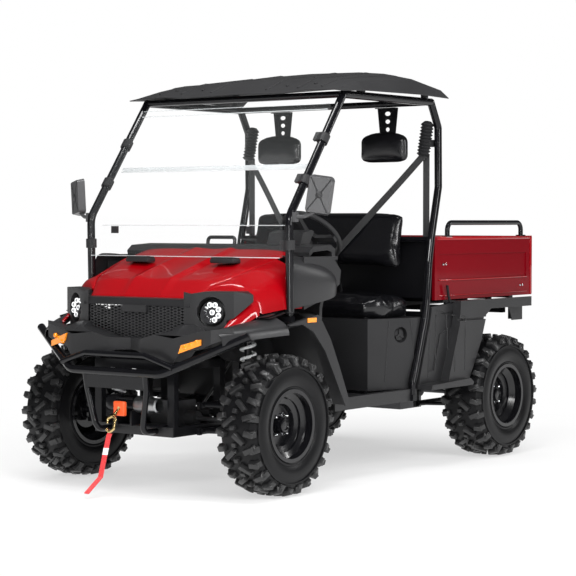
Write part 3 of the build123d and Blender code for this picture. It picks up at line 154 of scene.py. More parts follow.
def settle(obj):
    """Write an object's place into its mesh."""
    take(obj)
    bpy.ops.object.transform_apply(location=True, rotation=True, scale=True)
    return obj


def modify(obj, kind, **values):
    """Add a modifier, set it up and apply it."""
    take(obj)
    mod = obj.modifiers.new(kind.title(), kind)
    for key, value in values.items():
        setattr(mod, key, value)
    bpy.ops.object.modifier_apply(modifier=mod.name)
    return obj


def smooth(obj, angle=40):
    """Smooth shading with creases kept."""
    take(obj)
    bpy.ops.object.shade_smooth_by_angle(angle=math.radians(angle))
    return obj


def cube(low, high, bevel=0.0, segments=2):
    """Box between two corners, with rounded edges."""
    low, high = Vector(low), Vector(high)
    clear_selection()
    bpy.ops.mesh.primitive_cube_add(size=1, location=(low + high) / 2)
    obj = bpy.context.object
    obj.scale = [abs(v) for v in high - low]
    settle(obj)
    if bevel:
        modify(obj, "BEVEL", width=bevel, segments=segments, limit_method="ANGLE")
    return obj


def turn_to(direction):
    """Rotation that takes +Z to a direction."""
    return Vector(direction).to_track_quat("Z", "Y").to_euler()


def aim(direction, axis="X", up="Z"):
    """Matrix that turns an axis of a piece to a direction."""
    return Vector(direction).to_track_quat(axis, up).to_matrix().to_4x4()


def move(obj, where, turn=Matrix.Identity(4)):
    """Write a turn and then a move into an object's mesh."""
    obj.data.transform(Matrix.Translation(where) @ turn)
    return obj


def subdivide(obj, cuts):
    """Cut every edge of an object's mesh."""
    take(obj)
    bpy.ops.object.mode_set(mode="EDIT")
    bpy.ops.mesh.select_all(action="SELECT")
    bpy.ops.mesh.subdivide(number_cuts=cuts)
    bpy.ops.object.mode_set(mode="OBJECT")
    return obj


def bar(start, end, radius, vertices=24, bevel=0.0):
    """Round bar between two points."""
    start, end = Vector(start), Vector(end)
    clear_selection()
    bpy.ops.mesh.primitive_cylinder_add(
        vertices=vertices, radius=radius, depth=(end - start).length, location=(start + end) / 2,
        rotation=turn_to(end - start))
    obj = settle(bpy.context.object)
    if bevel:
        modify(obj, "BEVEL", width=bevel, segments=2, limit_method="ANGLE", angle_limit=math.radians(50))
    return obj


def drill(obj, holes):
    """Cut bars out of a piece and remove them."""
    for hole in holes:
        modify(obj, "BOOLEAN", object=hole, operation="DIFFERENCE", solver="EXACT")
        bpy.data.objects.remove(hole)
    return obj


def lathe(profile, vertices=48):
    """Closed turned form about X: profile is offsets along X and radii, extruded ring by ring."""
    offset, radius = profile[0]
    clear_selection()
    bpy.ops.mesh.primitive_circle_add(vertices=vertices, radius=radius, location=(offset, 0, 0),
                                      rotation=(0, math.pi / 2, 0))
    obj = settle(bpy.context.object)
    bpy.ops.object.mode_set(mode="EDIT")
    bpy.ops.mesh.select_all(action="SELECT")
    for next_offset, next_radius in [*profile[1:], profile[0]]:
        bpy.ops.mesh.extrude_region_move(TRANSFORM_OT_translate={"value": (next_offset - offset, 0, 0)})
        scale = next_radius / radius
        bpy.ops.transform.resize(value=(1, scale, scale))
        offset, radius = next_offset, next_radius
    bpy.ops.mesh.select_all(action="SELECT")
    bpy.ops.mesh.remove_doubles(threshold=1e-6)
    bpy.ops.mesh.normals_make_consistent(inside=False)
    bpy.ops.object.mode_set(mode="OBJECT")
    return obj


def pipe(points, radius, smooth_path=True, resolution=6):
    """Tube along points, through a smooth curve or straight runs."""
    curve = bpy.data.curves.new("path", "CURVE")
    curve.dimensions = "3D"
    curve.bevel_depth = radius
    curve.bevel_resolution = 4
    curve.use_fill_caps = True
    spline = curve.splines.new("NURBS" if smooth_path else "POLY")
    spline.points.add(len(points) - 1)
    for point, at in zip(spline.points, points):
        point.co = (*at, 1)
    if smooth_path:
        spline.order_u = 3
        spline.use_endpoint_u = True
        curve.resolution_u = resolution
    obj = bpy.data.objects.new("path", curve)
    bpy.context.collection.objects.link(obj)
    take(obj)
    bpy.ops.object.convert(target="MESH")
    return smooth(bpy.context.object)


def sheet(rows, thickness, levels=0):
    """Skin through rows of points, made from a grid, with its wall and smoothing."""
    clear_selection()
    bpy.ops.mesh.primitive_grid_add(x_subdivisions=len(rows[0]) - 1, y_subdivisions=len(rows) - 1, size=1)
    obj = bpy.context.object
    for vertex, point in zip(obj.data.vertices, [point for row in rows for point in row]):
        vertex.co = point
    if levels:
        modify(obj, "SUBSURF", levels=levels, render_levels=levels, boundary_smooth="PRESERVE_CORNERS")
    return modify(obj, "SOLIDIFY", thickness=thickness, offset=-1, use_even_offset=True)


def blend(table, at):
    """Row of values at a place, read from a table whose rows start with their place."""
    if at <= table[0][0]:
        return list(table[0][1:])
    for low, high in zip(table, table[1:]):
        if at <= high[0]:
            share = (at - low[0]) / (high[0] - low[0])
            return [a + (b - a) * share for a, b in zip(low[1:], high[1:])]
    return list(table[-1][1:])


def softened(node, width, segments=2, angle=28, cuts=()):
    """A copy of a solid with its edges rounded, and with what lies outside the cutting planes taken off."""
    solid = bpy.data.objects[node]
    obj = solid.copy()
    obj.data = solid.data.copy()
    bpy.context.collection.objects.link(obj)
    obj.hide_render = False
    take(obj)
    bpy.ops.object.mode_set(mode="EDIT")
    bpy.ops.mesh.select_all(action="SELECT")
    bpy.ops.mesh.remove_doubles(threshold=1e-5)
    bpy.ops.mesh.dissolve_limited(angle_limit=math.radians(0.5))
    for point, normal in cuts:
        bpy.ops.mesh.select_all(action="SELECT")
        bpy.ops.mesh.bisect(plane_co=point, plane_no=normal, use_fill=True, clear_outer=True)
    bpy.ops.object.mode_set(mode="OBJECT")
    modify(obj, "BEVEL", width=width, segments=segments, limit_method="ANGLE",
           angle_limit=math.radians(angle), use_clamp_overlap=True)
    smooth(obj, 30)
    modify(obj, "WEIGHTED_NORMAL", keep_sharp=True, weight=50)
    return obj


def copy_of(obj, matrix):
    """A copy with its own mesh, moved by a matrix that is written into the mesh."""
    twin = obj.copy()
    twin.data = obj.data.copy()
    bpy.context.collection.objects.link(twin)
    twin.data.transform(matrix)
    if matrix.determinant() < 0:
        twin.data.flip_normals()
    return twin


def mirror_x(obj):
    """A mirrored copy on the other side of the middle plane."""
    return copy_of(obj, Matrix.Scale(-1, 4, (1, 0, 0)))


def both_sides(parts):
    """Parts of the left side, followed by their mirrored copies."""
    return [*parts, *[mirror_x(part) for part in parts]]


def discard(models):
    """Remove models that have been copied to their places."""
    for model in models:
        bpy.data.objects.remove(model)


def join(parts, name):
    """Join meshes to one object."""
    clear_selection()
    for part in parts:
        part.select_set(True)
    bpy.context.view_layer.objects.active = parts[0]
    if len(parts) > 1:
        bpy.ops.object.join()
    obj = bpy.context.object
    obj.name = name
    obj.data.name = name
    return obj


def place(obj, name, material, body, nodes=(), slot=None):
    """Name a piece, give it its finish, and tie it to its body and the solids that it stands for."""
    obj.name = name
    obj.data.name = name
    obj.data.materials.clear()
    obj.data.materials.append(material)
    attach(obj, body)
    if nodes:
        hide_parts(*nodes)
    return obj


# ---------------------------------------------------------------- shader groups
def new_group(name, inputs, outputs):
    """Empty node group with named sockets, and its entry and exit nodes."""
    tree = bpy.data.node_groups.new(name, "ShaderNodeTree")
    for label, kind, default in inputs:
        socket = tree.interface.new_socket(label, in_out="INPUT", socket_type=kind)
        socket.default_value = default
    for label, kind in outputs:
        tree.interface.new_socket(label, in_out="OUTPUT", socket_type=kind)
    return tree, tree.nodes.new("NodeGroupInput"), tree.nodes.new("NodeGroupOutput")


def add_node(tree, kind, inputs=None, **settings):
    """A shader node with its settings and the defaults of its inputs."""
    node = tree.nodes.new("ShaderNode" + kind)
    for key, value in settings.items():
        setattr(node, key, value)
    for key, value in (inputs or {}).items():
        node.inputs[key].default_value = value
    return node


def wire(tree, *links):
    """Link sockets: each link is a node and its output, then a node and its input."""
    for source, output, target, entry in links:
        tree.links.new(source.outputs[output], target.inputs[entry])


def grain_group():
    """Fine leather-like grain of moulded plastic and vinyl."""
    tree, enter, leave = new_group(
        "Moulded Grain", [("Scale", "NodeSocketFloat", 900.0), ("Spread", "NodeSocketFloat", 0.5)],
        [("Height", "NodeSocketFloat"), ("Patches", "NodeSocketFloat")])
    coordinates = add_node(tree, "TexCoord")
    cells = add_node(tree, "TexVoronoi", feature="DISTANCE_TO_EDGE")
    fine = add_node(tree, "TexNoise", {"Scale": 220})
    broad = add_node(tree, "TexNoise", {"Scale": 3.5, "Detail": 4})
    mixed = add_node(tree, "Mix")
    wire(tree, (coordinates, "Object", cells, "Vector"), (coordinates, "Object", fine, "Vector"),
         (coordinates, "Object", broad, "Vector"), (enter, "Scale", cells, "Scale"),
         (enter, "Spread", mixed, "Factor"), (cells, "Distance", mixed, 2), (fine, "Fac", mixed, 3),
         (mixed, 0, leave, "Height"), (broad, "Fac", leave, "Patches"))
    return tree


def drift_group():
    """Slight change of a colour over the surface, with dust in soft patches."""
    tree, enter, leave = new_group(
        "Colour Drift",
        [("Color", "NodeSocketColor", (0.1, 0.1, 0.1, 1)), ("Light", "NodeSocketColor", (0.2, 0.2, 0.2, 1)),
         ("Patches", "NodeSocketFloat", 0.5), ("Amount", "NodeSocketFloat", 0.3)],
        [("Color", "NodeSocketColor")])
    ramp = add_node(tree, "MapRange", {"From Min": 0.35, "From Max": 0.75})
    scale = add_node(tree, "Math", operation="MULTIPLY")
    mixed = add_node(tree, "Mix", data_type="RGBA")
    wire(tree, (enter, "Patches", ramp, "Value"), (ramp, "Result", scale, 0), (enter, "Amount", scale, 1),
         (scale, 0, mixed, "Factor"), (enter, "Color", mixed, 6), (enter, "Light", mixed, 7),
         (mixed, 2, leave, "Color"))
    return tree


def weave_group():
    """Ribbed weave of webbing, from two crossed waves."""
    tree, enter, leave = new_group(
        "Webbing Weave", [("Scale", "NodeSocketFloat", 260.0)], [("Height", "NodeSocketFloat")])
    coordinates = add_node(tree, "TexCoord")
    across = add_node(tree, "TexWave", bands_direction="X")
    along = add_node(tree, "TexWave", bands_direction="Z")
    product = add_node(tree, "Math", operation="MULTIPLY")
    for entry, wave in enumerate((across, along)):
        wire(tree, (coordinates, "Object", wave, "Vector"), (enter, "Scale", wave, "Scale"),
             (wave, "Fac", product, entry))
    wire(tree, (product, 0, leave, "Height"))
    return tree


GROUPS = {}
MATERIALS = {}


def shared_group(maker):
    """A shader group that all finishes share, built once."""
    if maker not in GROUPS:
        GROUPS[maker] = maker()
    return GROUPS[maker]


def finish(name, color, roughness=0.5, metallic=0.0, coat=0.0, coat_roughness=0.05, specular=0.5, alpha=1.0,
           emission=0.0, sheen=0.0, grain=0.0, grain_scale=900.0, spread=0.5, drift=0.15, light=1.6,
           weave=0.0, weave_scale=260.0):
    """A named material: a principled surface with grain or weave in its normal and a drift in its colour."""
    if name in MATERIALS:
        return MATERIALS[name]
    material = bpy.data.materials.new(name)
    material.use_nodes = True
    tree = material.node_tree
    surface = tree.nodes["Principled BSDF"]
    values = {"Metallic": metallic, "Roughness": roughness, "Specular IOR Level": specular,
              "Coat Weight": coat, "Coat Roughness": coat_roughness, "Sheen Weight": sheen, "Alpha": alpha}
    if emission:
        values |= {"Emission Color": (*color, 1), "Emission Strength": emission}
    for label, value in values.items():
        surface.inputs[label].default_value = value
    texture = add_node(tree, "Group", {"Scale": grain_scale, "Spread": spread},
                       node_tree=shared_group(grain_group))
    lighter = (*[min(c * light + 0.004, 1) for c in color], 1)
    tint = add_node(tree, "Group", {"Color": (*color, 1), "Light": lighter, "Amount": drift},
                    node_tree=shared_group(drift_group))
    wire(tree, (texture, "Patches", tint, "Patches"), (tint, "Color", surface, "Base Color"))
    if grain or weave:
        bump = add_node(tree, "Bump", {"Strength": grain or weave, "Distance": 0.001})
        relief = texture
        if weave:
            relief = add_node(tree, "Group", {"Scale": weave_scale}, node_tree=shared_group(weave_group))
        wire(tree, (relief, "Height", bump, "Height"), (bump, "Normal", surface, "Normal"))
    MATERIALS[name] = material
    return material


def paint():
    """The scene's colour settings."""
    return bpy.context.scene.vehicle_paint


def gloss_red():
    return finish("Gloss Red", tuple(paint().hood_red), 0.36, coat=0.8, coat_roughness=0.04, specular=0.08,
                  grain=0.03, grain_scale=60, spread=1.0, drift=0.06, light=1.25)


# painted shade: a darker copy of the hood red for the bed sides and tailgate
def bed_red_painted_shade():
    return finish("Bed Red Painted Shade", tuple(paint().bed_red_painted_shade), 0.42, coat=0.22, specular=0.05, grain=0.03,
                  grain_scale=80, spread=1.0, drift=0.08, light=1.3)


def moulded_black():
    return finish("Moulded Black", tuple(paint().moulded_black), 0.33, specular=0.42, grain=0.28, drift=0.35)


def dark_moulding():
    return finish("Dark Moulding", (0.008, 0.008, 0.009), 0.45, specular=0.3, grain=0.2, drift=0.3)


def mirror_grey():
    return finish("Mirror Back", (0.055, 0.055, 0.057), 0.30, grain=0.2, drift=0.3)


def roof_plastic():
    return finish("Roof Plastic", tuple(paint().roof_grey), 0.50, specular=0.3, grain=0.35,
                  grain_scale=700, drift=0.3)


def tube_black():
    return finish("Tube Black", (0.003, 0.003, 0.004), 0.20, coat=0.4, specular=0.2, grain=0.04,
                  grain_scale=300, spread=0.8, drift=0.2)


def frame_black():
    return finish("Frame Black", (0.005, 0.005, 0.006), 0.30, coat=0.1, coat_roughness=0.1, specular=0.2,
                  grain=0.1, grain_scale=400, drift=0.4)


def vinyl():
    return finish("Bench Vinyl", (0.004, 0.004, 0.005), 0.23, specular=0.6, grain=0.22, grain_scale=620,
                  drift=0.2)


# painted light and shade: the tread rubber is the lit copy, lighter and glossier than the casing
def tyre_rubber():
    return finish("Tyre Rubber", (0.012, 0.012, 0.0125), 0.36, specular=0.55, grain=0.3, grain_scale=420,
                  drift=0.55, light=2.0)


# painted shade: the casing is a darker, duller copy of the tread rubber, deepening the grooves between the
# lugs
def casing_rubber_painted_shade():
    return finish("Casing Rubber Painted Shade", (0.004, 0.004, 0.0045), 0.34, specular=0.2, grain=0.25, grain_scale=420,
                  drift=0.5, light=1.8)


def rim_black():
    return finish("Rim Black", (0.004, 0.004, 0.005), 0.24, coat=0.4, coat_roughness=0.12, specular=0.35,
                  grain=0.04, grain_scale=200, drift=0.2)


def soft_rubber():
    return finish("Soft Rubber", (0.012, 0.012, 0.013), 0.6, grain=0.2, grain_scale=500, drift=0.3)


def chrome():
    return finish("Bright Nut", (0.75, 0.76, 0.78), 0.14, metallic=1.0, drift=0.1, light=1.1)


def zinc():
    return finish("Zinc Steel", (0.42, 0.43, 0.44), 0.34, metallic=1.0, grain=0.08, grain_scale=300,
                  drift=0.3, light=1.3)


def cast_metal():
    return finish("Cast Metal", (0.10, 0.10, 0.105), 0.45, metallic=0.8, grain=0.35, grain_scale=350,
                  drift=0.5)


def coil_silver():
    return finish("Coil Silver", (0.92, 0.93, 0.94), 0.25, coat=0.5, drift=0.08, light=1.15)


# painted glow: the amber lenses and bulbs emit a little light of their own, standing in for light passing
# through the lens
def amber():
    return finish("Amber Lens Painted Glow", (0.80, 0.24, 0.003), 0.16, coat=0.8, emission=0.08, drift=0.25, light=1.3)


def tail_red():
    return finish("Tail Lens", (0.45, 0.01, 0.01), 0.15, coat=1.0, drift=0.2)


# painted glow: the diode lenses emit light of their own, standing in for their bright look
def led_white():
    return finish("Diode Lens Painted Glow", (0.32, 0.33, 0.34), 0.08, coat=1.0, emission=0.15, drift=0.1, light=1.1)


# painted reflection: the reflector cups emit light, standing in for the studio light that their chrome
# reflects
def lamp_chrome():
    return finish("Lamp Reflector Painted Glow", (0.90, 0.91, 0.92), 0.2, coat=1.0, emission=0.55, drift=0.1, light=1.2)


def lamp_bowl():
    return finish("Lamp Bowl", (0.020, 0.020, 0.022), 0.18, drift=0.2)


def core_dark():
    return finish("Cooler Core", (0.006, 0.006, 0.007), 0.5, specular=0.1, grain=0.3, grain_scale=300,
                  drift=0.6, light=3.0)


def clear_pane():
    return finish("Clear Pane", (0.60, 0.63, 0.63), 0.04, specular=0.3, alpha=0.014, drift=0.0)


# painted highlight: whitish, half-opaque strips stand in for the light streaks along the folds and joints of
# the clear panes
def pane_edge_painted_highlight():
    return finish("Pane Edge Painted Highlight", (0.66, 0.69, 0.70), 0.2, specular=0.6, alpha=0.55, drift=0.05, light=1.2)


def mirror_face():
    return finish("Mirror Face", (0.82, 0.84, 0.86), 0.03, metallic=1.0, drift=0.02, light=1.05)


def hook_gold():
    return finish("Hook Gold", (0.80, 0.60, 0.28), 0.26, metallic=1.0, drift=0.15, light=1.15)


def stop_orange():
    return finish("Stop Orange", (0.85, 0.10, 0.02), 0.42, grain=0.12, grain_scale=400, drift=0.12, light=1.2)


def strap_red():
    return finish("Strap Red", (0.68, 0.012, 0.016), 0.62, sheen=0.3, weave=0.5, weave_scale=330,
                  drift=0.12, light=1.25)


def strap_white():
    return finish("Strap White", (0.85, 0.85, 0.84), 0.6, sheen=0.2, weave=0.4, weave_scale=330, drift=0.05,
                  light=1.05)


def belt_black():
    return finish("Belt Webbing", (0.016, 0.016, 0.017), 0.6, sheen=0.3, weave=0.5, weave_scale=300,
                  drift=0.2)


def net_black():
    return finish("Net Black", (0.045, 0.045, 0.047), 0.36, specular=0.6, grain=0.1, drift=0.2)


# ---------------------------------------------------------------- tyres and wheels
BEAD_SHARE = 0.479              # radius of a tyre's bead, as a share of the tyre's
SIDE_ROOM = 0.002               # room between a casing and the side of its solid's box
LUG_ROOT = 0.010                # depth of a lug's root in the carcass
LUG_TAPER = (0.86, 0.80, 1)     # size of a lug's top against its foot
NUT_CIRCLE = 0.055              # radius of the circle of wheel nuts


def wheel_places():
    """Axle and side of each wheel, with the matrix that takes a piece about X from the origin to it."""
    for axle in AXLE_Y:
        for side, sign in SIDES.items():
            where = Matrix.Translation((sign * WHEEL_X, AXLE_Y[axle], AXLE_Z))
            if sign < 0:
                where @= Matrix.Rotation(math.pi, 4, "Z")
            yield axle, side, where


def carcass(half):
    """Turned carcass of a tyre about X; half is half its width."""
    crown = TYRE_R - bpy.context.scene.vehicle_tyres.lug_height
    rim = TYRE_R * BEAD_SHARE
    outline = [
        (half - 0.015, rim + 0.001), (half - 0.012, rim + 0.014), (half - 0.008, rim + 0.020),
        (half - 0.009, rim + 0.026), (half - 0.003, rim + 0.036), (half, rim + 0.060),
        (half - 0.001, rim + 0.084), (half - 0.005, rim + 0.100), (half - 0.004, rim + 0.106),
        (half - 0.012, crown - 0.020), (half - 0.024, crown - 0.006), (half - 0.050, crown - 0.001),
        (0.0, crown),
    ]
    return lathe(outline + [(-x, r) for x, r in reversed(outline[:-1])], vertices=96)


# columns: place across as a share of half the width, length across, length round, twist in degrees,
# lean in degrees, drop below the crown, and place round as a share of one pitch
LUGS = [
    (-0.27, 0.074, 0.026, 38, 3, 0.000, 0.00),
    (-0.03, 0.026, 0.024, 4, 0, 0.000, 0.17),
    (0.27, 0.074, 0.026, -38, 3, 0.000, 0.50),
    (0.03, 0.026, 0.024, -4, 0, 0.000, 0.67),
    (-0.73, 0.060, 0.030, -20, 12, 0.005, 0.34),
    (0.73, 0.060, 0.030, 20, 12, 0.005, 0.84),
    (-0.78, 0.050, 0.032, 14, 16, 0.007, 0.84),
    (0.78, 0.050, 0.032, -14, 16, 0.007, 0.34),
    (-0.97, 0.050, 0.036, 0, 66, 0.030, 0.36),
    (0.97, 0.050, 0.036, 0, 66, 0.030, 0.86),
    (-0.97, 0.036, 0.034, 0, 60, 0.024, 0.84),
    (0.97, 0.036, 0.034, 0, 60, 0.024, 0.34),
]


def lug(half, across, width, length, twist, lean, drop, share):
    """One tread block, tapered to its top, seated on the carcass at its place round the tyre."""
    settings = bpy.context.scene.vehicle_tyres
    height = settings.lug_height + LUG_ROOT
    clear_selection()
    bpy.ops.mesh.primitive_cube_add(size=1)
    obj = bpy.context.object
    obj.scale = (width, length, height)
    settle(obj)
    bpy.ops.object.mode_set(mode="EDIT")
    mesh = bmesh.from_edit_mesh(obj.data)
    for face in mesh.faces:
        face.select = face.normal.z > 0.9
    mesh.select_flush(True)
    bmesh.update_edit_mesh(obj.data)
    bpy.ops.transform.resize(value=LUG_TAPER)
    bpy.ops.object.mode_set(mode="OBJECT")
    modify(obj, "BEVEL", width=settings.lug_bevel, segments=2, limit_method="ANGLE")
    place_at = Matrix.Rotation(share * math.tau / settings.pitches, 4, "X")
    place_at @= Matrix.Translation((across * half, 0, TYRE_R - drop))
    place_at @= Matrix.Rotation(math.copysign(math.radians(lean), across), 4, "Y")
    place_at @= Matrix.Rotation(math.radians(twist), 4, "Z")
    place_at @= Matrix.Translation((0, 0, -height / 2))
    obj.data.transform(place_at)
    return obj


def tyre(half):
    """Casing and tread of one tyre, about X at the origin."""
    pitches = bpy.context.scene.vehicle_tyres.pitches
    tread = join([lug(half, *row) for row in LUGS], "tread")
    clear_selection()
    bpy.ops.object.empty_add(rotation=(math.tau / pitches, 0, 0))
    step = bpy.context.object
    modify(tread, "ARRAY", count=pitches, use_relative_offset=False, use_constant_offset=False,
           use_object_offset=True, offset_object=step)
    bpy.data.objects.remove(step)
    line = lathe([(half - 0.006, TYRE_R * 0.80), (half + 0.0015, TYRE_R * 0.805),
                  (half + 0.0015, TYRE_R * 0.825), (half - 0.006, TYRE_R * 0.83)], vertices=96)
    return smooth(join([carcass(half), *both_sides([line])], "casing"), 35), smooth(tread, 35)


class VEHICLE_OT_tyres(bpy.types.Operator):
    """Model the four tyres with their tread blocks"""

    bl_idname = "vehicle.tyres"
    bl_label = "Tyres"

    def execute(self, context):
        models = {}
        for axle in AXLE_Y:
            low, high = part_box(f"tyre_{axle}_left")
            models[axle] = tyre((high[0] - low[0]) / 2 - SIDE_ROOM)
        for axle, side, where in wheel_places():
            body, node = f"wheel_{axle}_{side}", f"tyre_{axle}_{side}"
            casing, tread = models[axle]
            # the casing takes the shaded copy of the rubber and the tread the lit copy
            place(copy_of(casing, where), f"casing_{axle}_{side}", casing_rubber_painted_shade(), body, [node],
                  "tyre_rubber")
            place(copy_of(tread, where), f"tread_{axle}_{side}", tyre_rubber(), body, [node], "tyre_rubber")
        discard([*models["front"], *models["rear"]])
        return {"FINISHED"}


def wheel_nuts():
    """Four acorn nuts with washers, about X at the origin, facing +X."""
    washer = bar((0.006, 0, 0), (0.010, 0, 0), 0.013, 20)
    body = bar((0.009, 0, 0), (0.026, 0, 0), 0.0105, 6, bevel=0.001)
    cap = lathe([(0.025, 0.0095), (0.032, 0.0085), (0.037, 0.005), (0.039, 0.0008), (0.025, 0.0008)], 16)
    nut = join([washer, body, cap], "nut")
    nuts = []
    for turn in (45, 135, 225, 315):
        y, z = NUT_CIRCLE * math.cos(math.radians(turn)), NUT_CIRCLE * math.sin(math.radians(turn))
        nuts.append(copy_of(nut, Matrix.Translation((0, y, z))))
    discard([nut])
    return smooth(join(nuts, "nuts"), 35)


def hub_cap():
    """Domed dust cap of a hub, with a raised ring."""
    return smooth(lathe([(0.018, 0.036), (0.044, 0.034), (0.052, 0.030), (0.054, 0.022), (0.049, 0.019),
                         (0.050, 0.001), (0.018, 0.001)], 40), 35)


class VEHICLE_OT_wheels(bpy.types.Operator):
    """Model the wheel nuts, hub caps and valves"""

    bl_idname = "vehicle.wheels"
    bl_label = "Wheel Fittings"

    def execute(self, context):
        valve = bar((0.036, 0, 0.128), (0.066, 0, 0.120), 0.004, 12, bevel=0.001)
        models = [(wheel_nuts(), "nuts", chrome), (hub_cap(), "hub_cap", rim_black),
                  (valve, "valve", soft_rubber)]
        for axle, side, where in wheel_places():
            for model, name, maker in models:
                place(copy_of(model, where), f"{name}_{axle}_{side}", maker(), f"wheel_{axle}_{side}")
        discard([model for model, _, _ in models])
        return {"FINISHED"}


# ---------------------------------------------------------------- padded pieces
PAD_CUTS = 22                   # cuts along each edge of a pad's block
PAD_EDGE = 0.03                 # rounding of its edges
PAD_INSET = 0.012               # room between the block and its solid's box
HEADREST_X = 0.334              # middle of a headrest, out from the middle of the vehicle
HEADREST_HALF = 0.140           # half its width
HEADREST_Z = 1.602              # height of its middle
HEADREST_SWELL = 0.010          # furthest that a point of it may move
BRACKET_HOLES = (1.695, 1.735, 1.775)           # heights of the holes in a headrest's plate
CLOTH_STEPS = 14                # steps of the cloth while a pad is inflated


def inflate(obj, limit=None):
    """Remesh a pad, blow it up as cloth under pressure, cap its swell and relax it."""
    settings = bpy.context.scene.vehicle_seats
    limit = settings.swell if limit is None else limit
    modify(obj, "REMESH", mode="VOXEL", voxel_size=settings.voxel)
    modify(obj, "SMOOTH", factor=0.5, iterations=4)
    rest = [vertex.co.copy() for vertex in obj.data.vertices]
    take(obj)
    cloth = obj.modifiers.new("Cloth", "CLOTH")
    cloth.settings.quality = 4
    cloth.settings.use_pressure = True
    cloth.settings.uniform_pressure_force = settings.pressure
    cloth.settings.tension_stiffness = 15
    cloth.settings.compression_stiffness = 15
    cloth.settings.bending_stiffness = 0.5
    cloth.settings.effector_weights.gravity = 0
    for step in range(1, CLOTH_STEPS + 1):
        bpy.context.scene.frame_set(step)
    bpy.ops.object.modifier_apply(modifier=cloth.name)
    bpy.context.scene.frame_set(1)
    for vertex, home in zip(obj.data.vertices, rest):
        move = vertex.co - home
        if move.length > limit:
            vertex.co = home + move.normalized() * limit
    modify(obj, "SMOOTH", factor=0.5, iterations=14)
    return obj


def shaped_block(low, high, shape):
    """Subdivided block whose points are moved by shape(point, place in a 0..1 cube) and rounded."""
    low, high = Vector(low), Vector(high)
    obj = subdivide(cube(low, high), PAD_CUTS)
    for vertex in obj.data.vertices:
        share = Vector([(vertex.co[i] - low[i]) / (high[i] - low[i]) for i in range(3)])
        vertex.co = shape(vertex.co.copy(), share)
    return modify(obj, "BEVEL", width=PAD_EDGE, segments=3, limit_method="ANGLE",
                  angle_limit=math.radians(50))


def seat_cushion():
    """Bench cushion: crowned top, rounded front roll and bulged ends."""
    low, high = [Vector(v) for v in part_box("seat_cushion")]

    def shape(point, share):
        across = abs(share.x - 0.5) * 2
        taper = max(0.0, (0.30 - share.y) / 0.30)
        point.x *= 1 - 0.13 * taper ** 1.5
        if share.z > 0.5:
            front_roll = 0.018 * max(0, 1 - share.y * 5)
            rear_roll = 0.012 * max(0, share.y - 0.85) * 6
            point.z -= 0.020 * across ** 6 + front_roll + rear_roll
            point.z -= 0.007 * math.exp(-((across - 0.80) / 0.05) ** 2)
        else:
            point.y += 0.018 * (1 - share.y)
        return point

    block = shaped_block(low + Vector((PAD_INSET, PAD_INSET, 0.004)),
                         high - Vector((PAD_INSET, PAD_INSET, PAD_INSET)), shape)
    return smooth(inflate(block), 80)


def seat_back():
    """Bench back: leaning block with end bolsters and a rolled top."""
    low, high = [Vector(v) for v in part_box("seat_back")]
    lean_front = (1.140 - 1.200) / (1.060 - 1.298)
    back_y = front(1.256)

    def shape(point, share):
        across = abs(share.x - 0.5) * 2
        z = point.z
        front_y = front(1.146) + max(0.0, z - 1.06) * lean_front * 0.98
        rear_y = front(1.222) + (z - 0.985) * 0.108
        point.y = front_y + 0.012 + (rear_y - front_y - 0.016) * share.y
        if share.y < 0.5:
            point.y += 0.010 * math.exp(-((across - 0.78) / 0.05) ** 2) * min(1, share.z * 3)
            point.y -= 0.012 * math.exp(-((share.z - 0.25) / 0.22) ** 2) * (1 - across ** 4)
            point.y += 0.020 * across ** 10
        point.z -= 0.030 * across ** 8 * share.z
        return point

    block = shaped_block((low.x + PAD_INSET, low.y, low.z + 0.010),
                         (high.x - PAD_INSET, back_y, high.z - PAD_INSET), shape)
    return smooth(inflate(block), 80)


def cushion_tray():
    """Tray below the cushion, narrower to the front."""
    low, high = [Vector(v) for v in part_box("seat_cushion")]
    tray = cube((low.x + 0.03, low.y + 0.05, low.z - 0.001), (high.x - 0.03, high.y - 0.01, low.z + 0.012),
                0.004)
    for vertex in tray.data.vertices:
        vertex.co.x *= 1 - 0.12 * max(0, (low.y + 0.16 - vertex.co.y) / 0.11)
    return tray


def headrest(sign):
    """Pad of one headrest, and its drilled plate with the foot."""
    x = sign * HEADREST_X
    pad = cube((x - HEADREST_HALF, front(1.226), 1.524), (x + HEADREST_HALF, front(1.276), 1.684), 0.024, 5)
    subdivide(pad, 4)
    for vertex in pad.data.vertices:
        across = abs(vertex.co.x - x) / HEADREST_HALF
        rise = (vertex.co.z - HEADREST_Z) * (1 - 0.28 * across ** 3)
        vertex.co.z = HEADREST_Z + rise - 0.010 * across ** 2
    inflate(pad, HEADREST_SWELL)
    plate = cube((x - 0.036, front(1.280), 1.560), (x + 0.036, front(1.284), 1.803), 0.003)
    drill(plate, [bar((x, front(1.270), z), (x, front(1.29), z), 0.011, 20) for z in BRACKET_HOLES])
    for vertex in plate.data.vertices:
        vertex.co.x = x + (vertex.co.x - x) * (1 + 0.75 * max(0.0, (vertex.co.z - 1.68) / 0.12))
    foot = cube((x - 0.062, front(1.255), 1.8000), (x + 0.062, front(1.283), 1.8045), 0.001)
    return pad, plate, foot


class VEHICLE_OT_seats(bpy.types.Operator):
    """Model the bench cushion, the bench back and the headrests"""

    bl_idname = "vehicle.seats"
    bl_label = "Seats"

    def execute(self, context):
        cushion = place(seat_cushion(), "bench_cushion", vinyl(), "frame", ["seat_cushion"], "vinyl")
        back = place(seat_back(), "bench_back", vinyl(), "frame", ["seat_back"], "vinyl")
        place(cushion_tray(), "cushion_tray", dark_moulding(), "frame")
        pads, brackets = [], []
        for sign in SIDES.values():
            pad, plate, foot = headrest(sign)
            pads.append(pad)
            brackets += [plate, foot]
        pads = place(smooth(join(pads, "pads"), 80), "headrest_pads", vinyl(), "frame", ["headrests"],
                     "vinyl")
        place(smooth(join(brackets, "plates")), "headrest_plates", frame_black(), "frame")
        return {"FINISHED"}


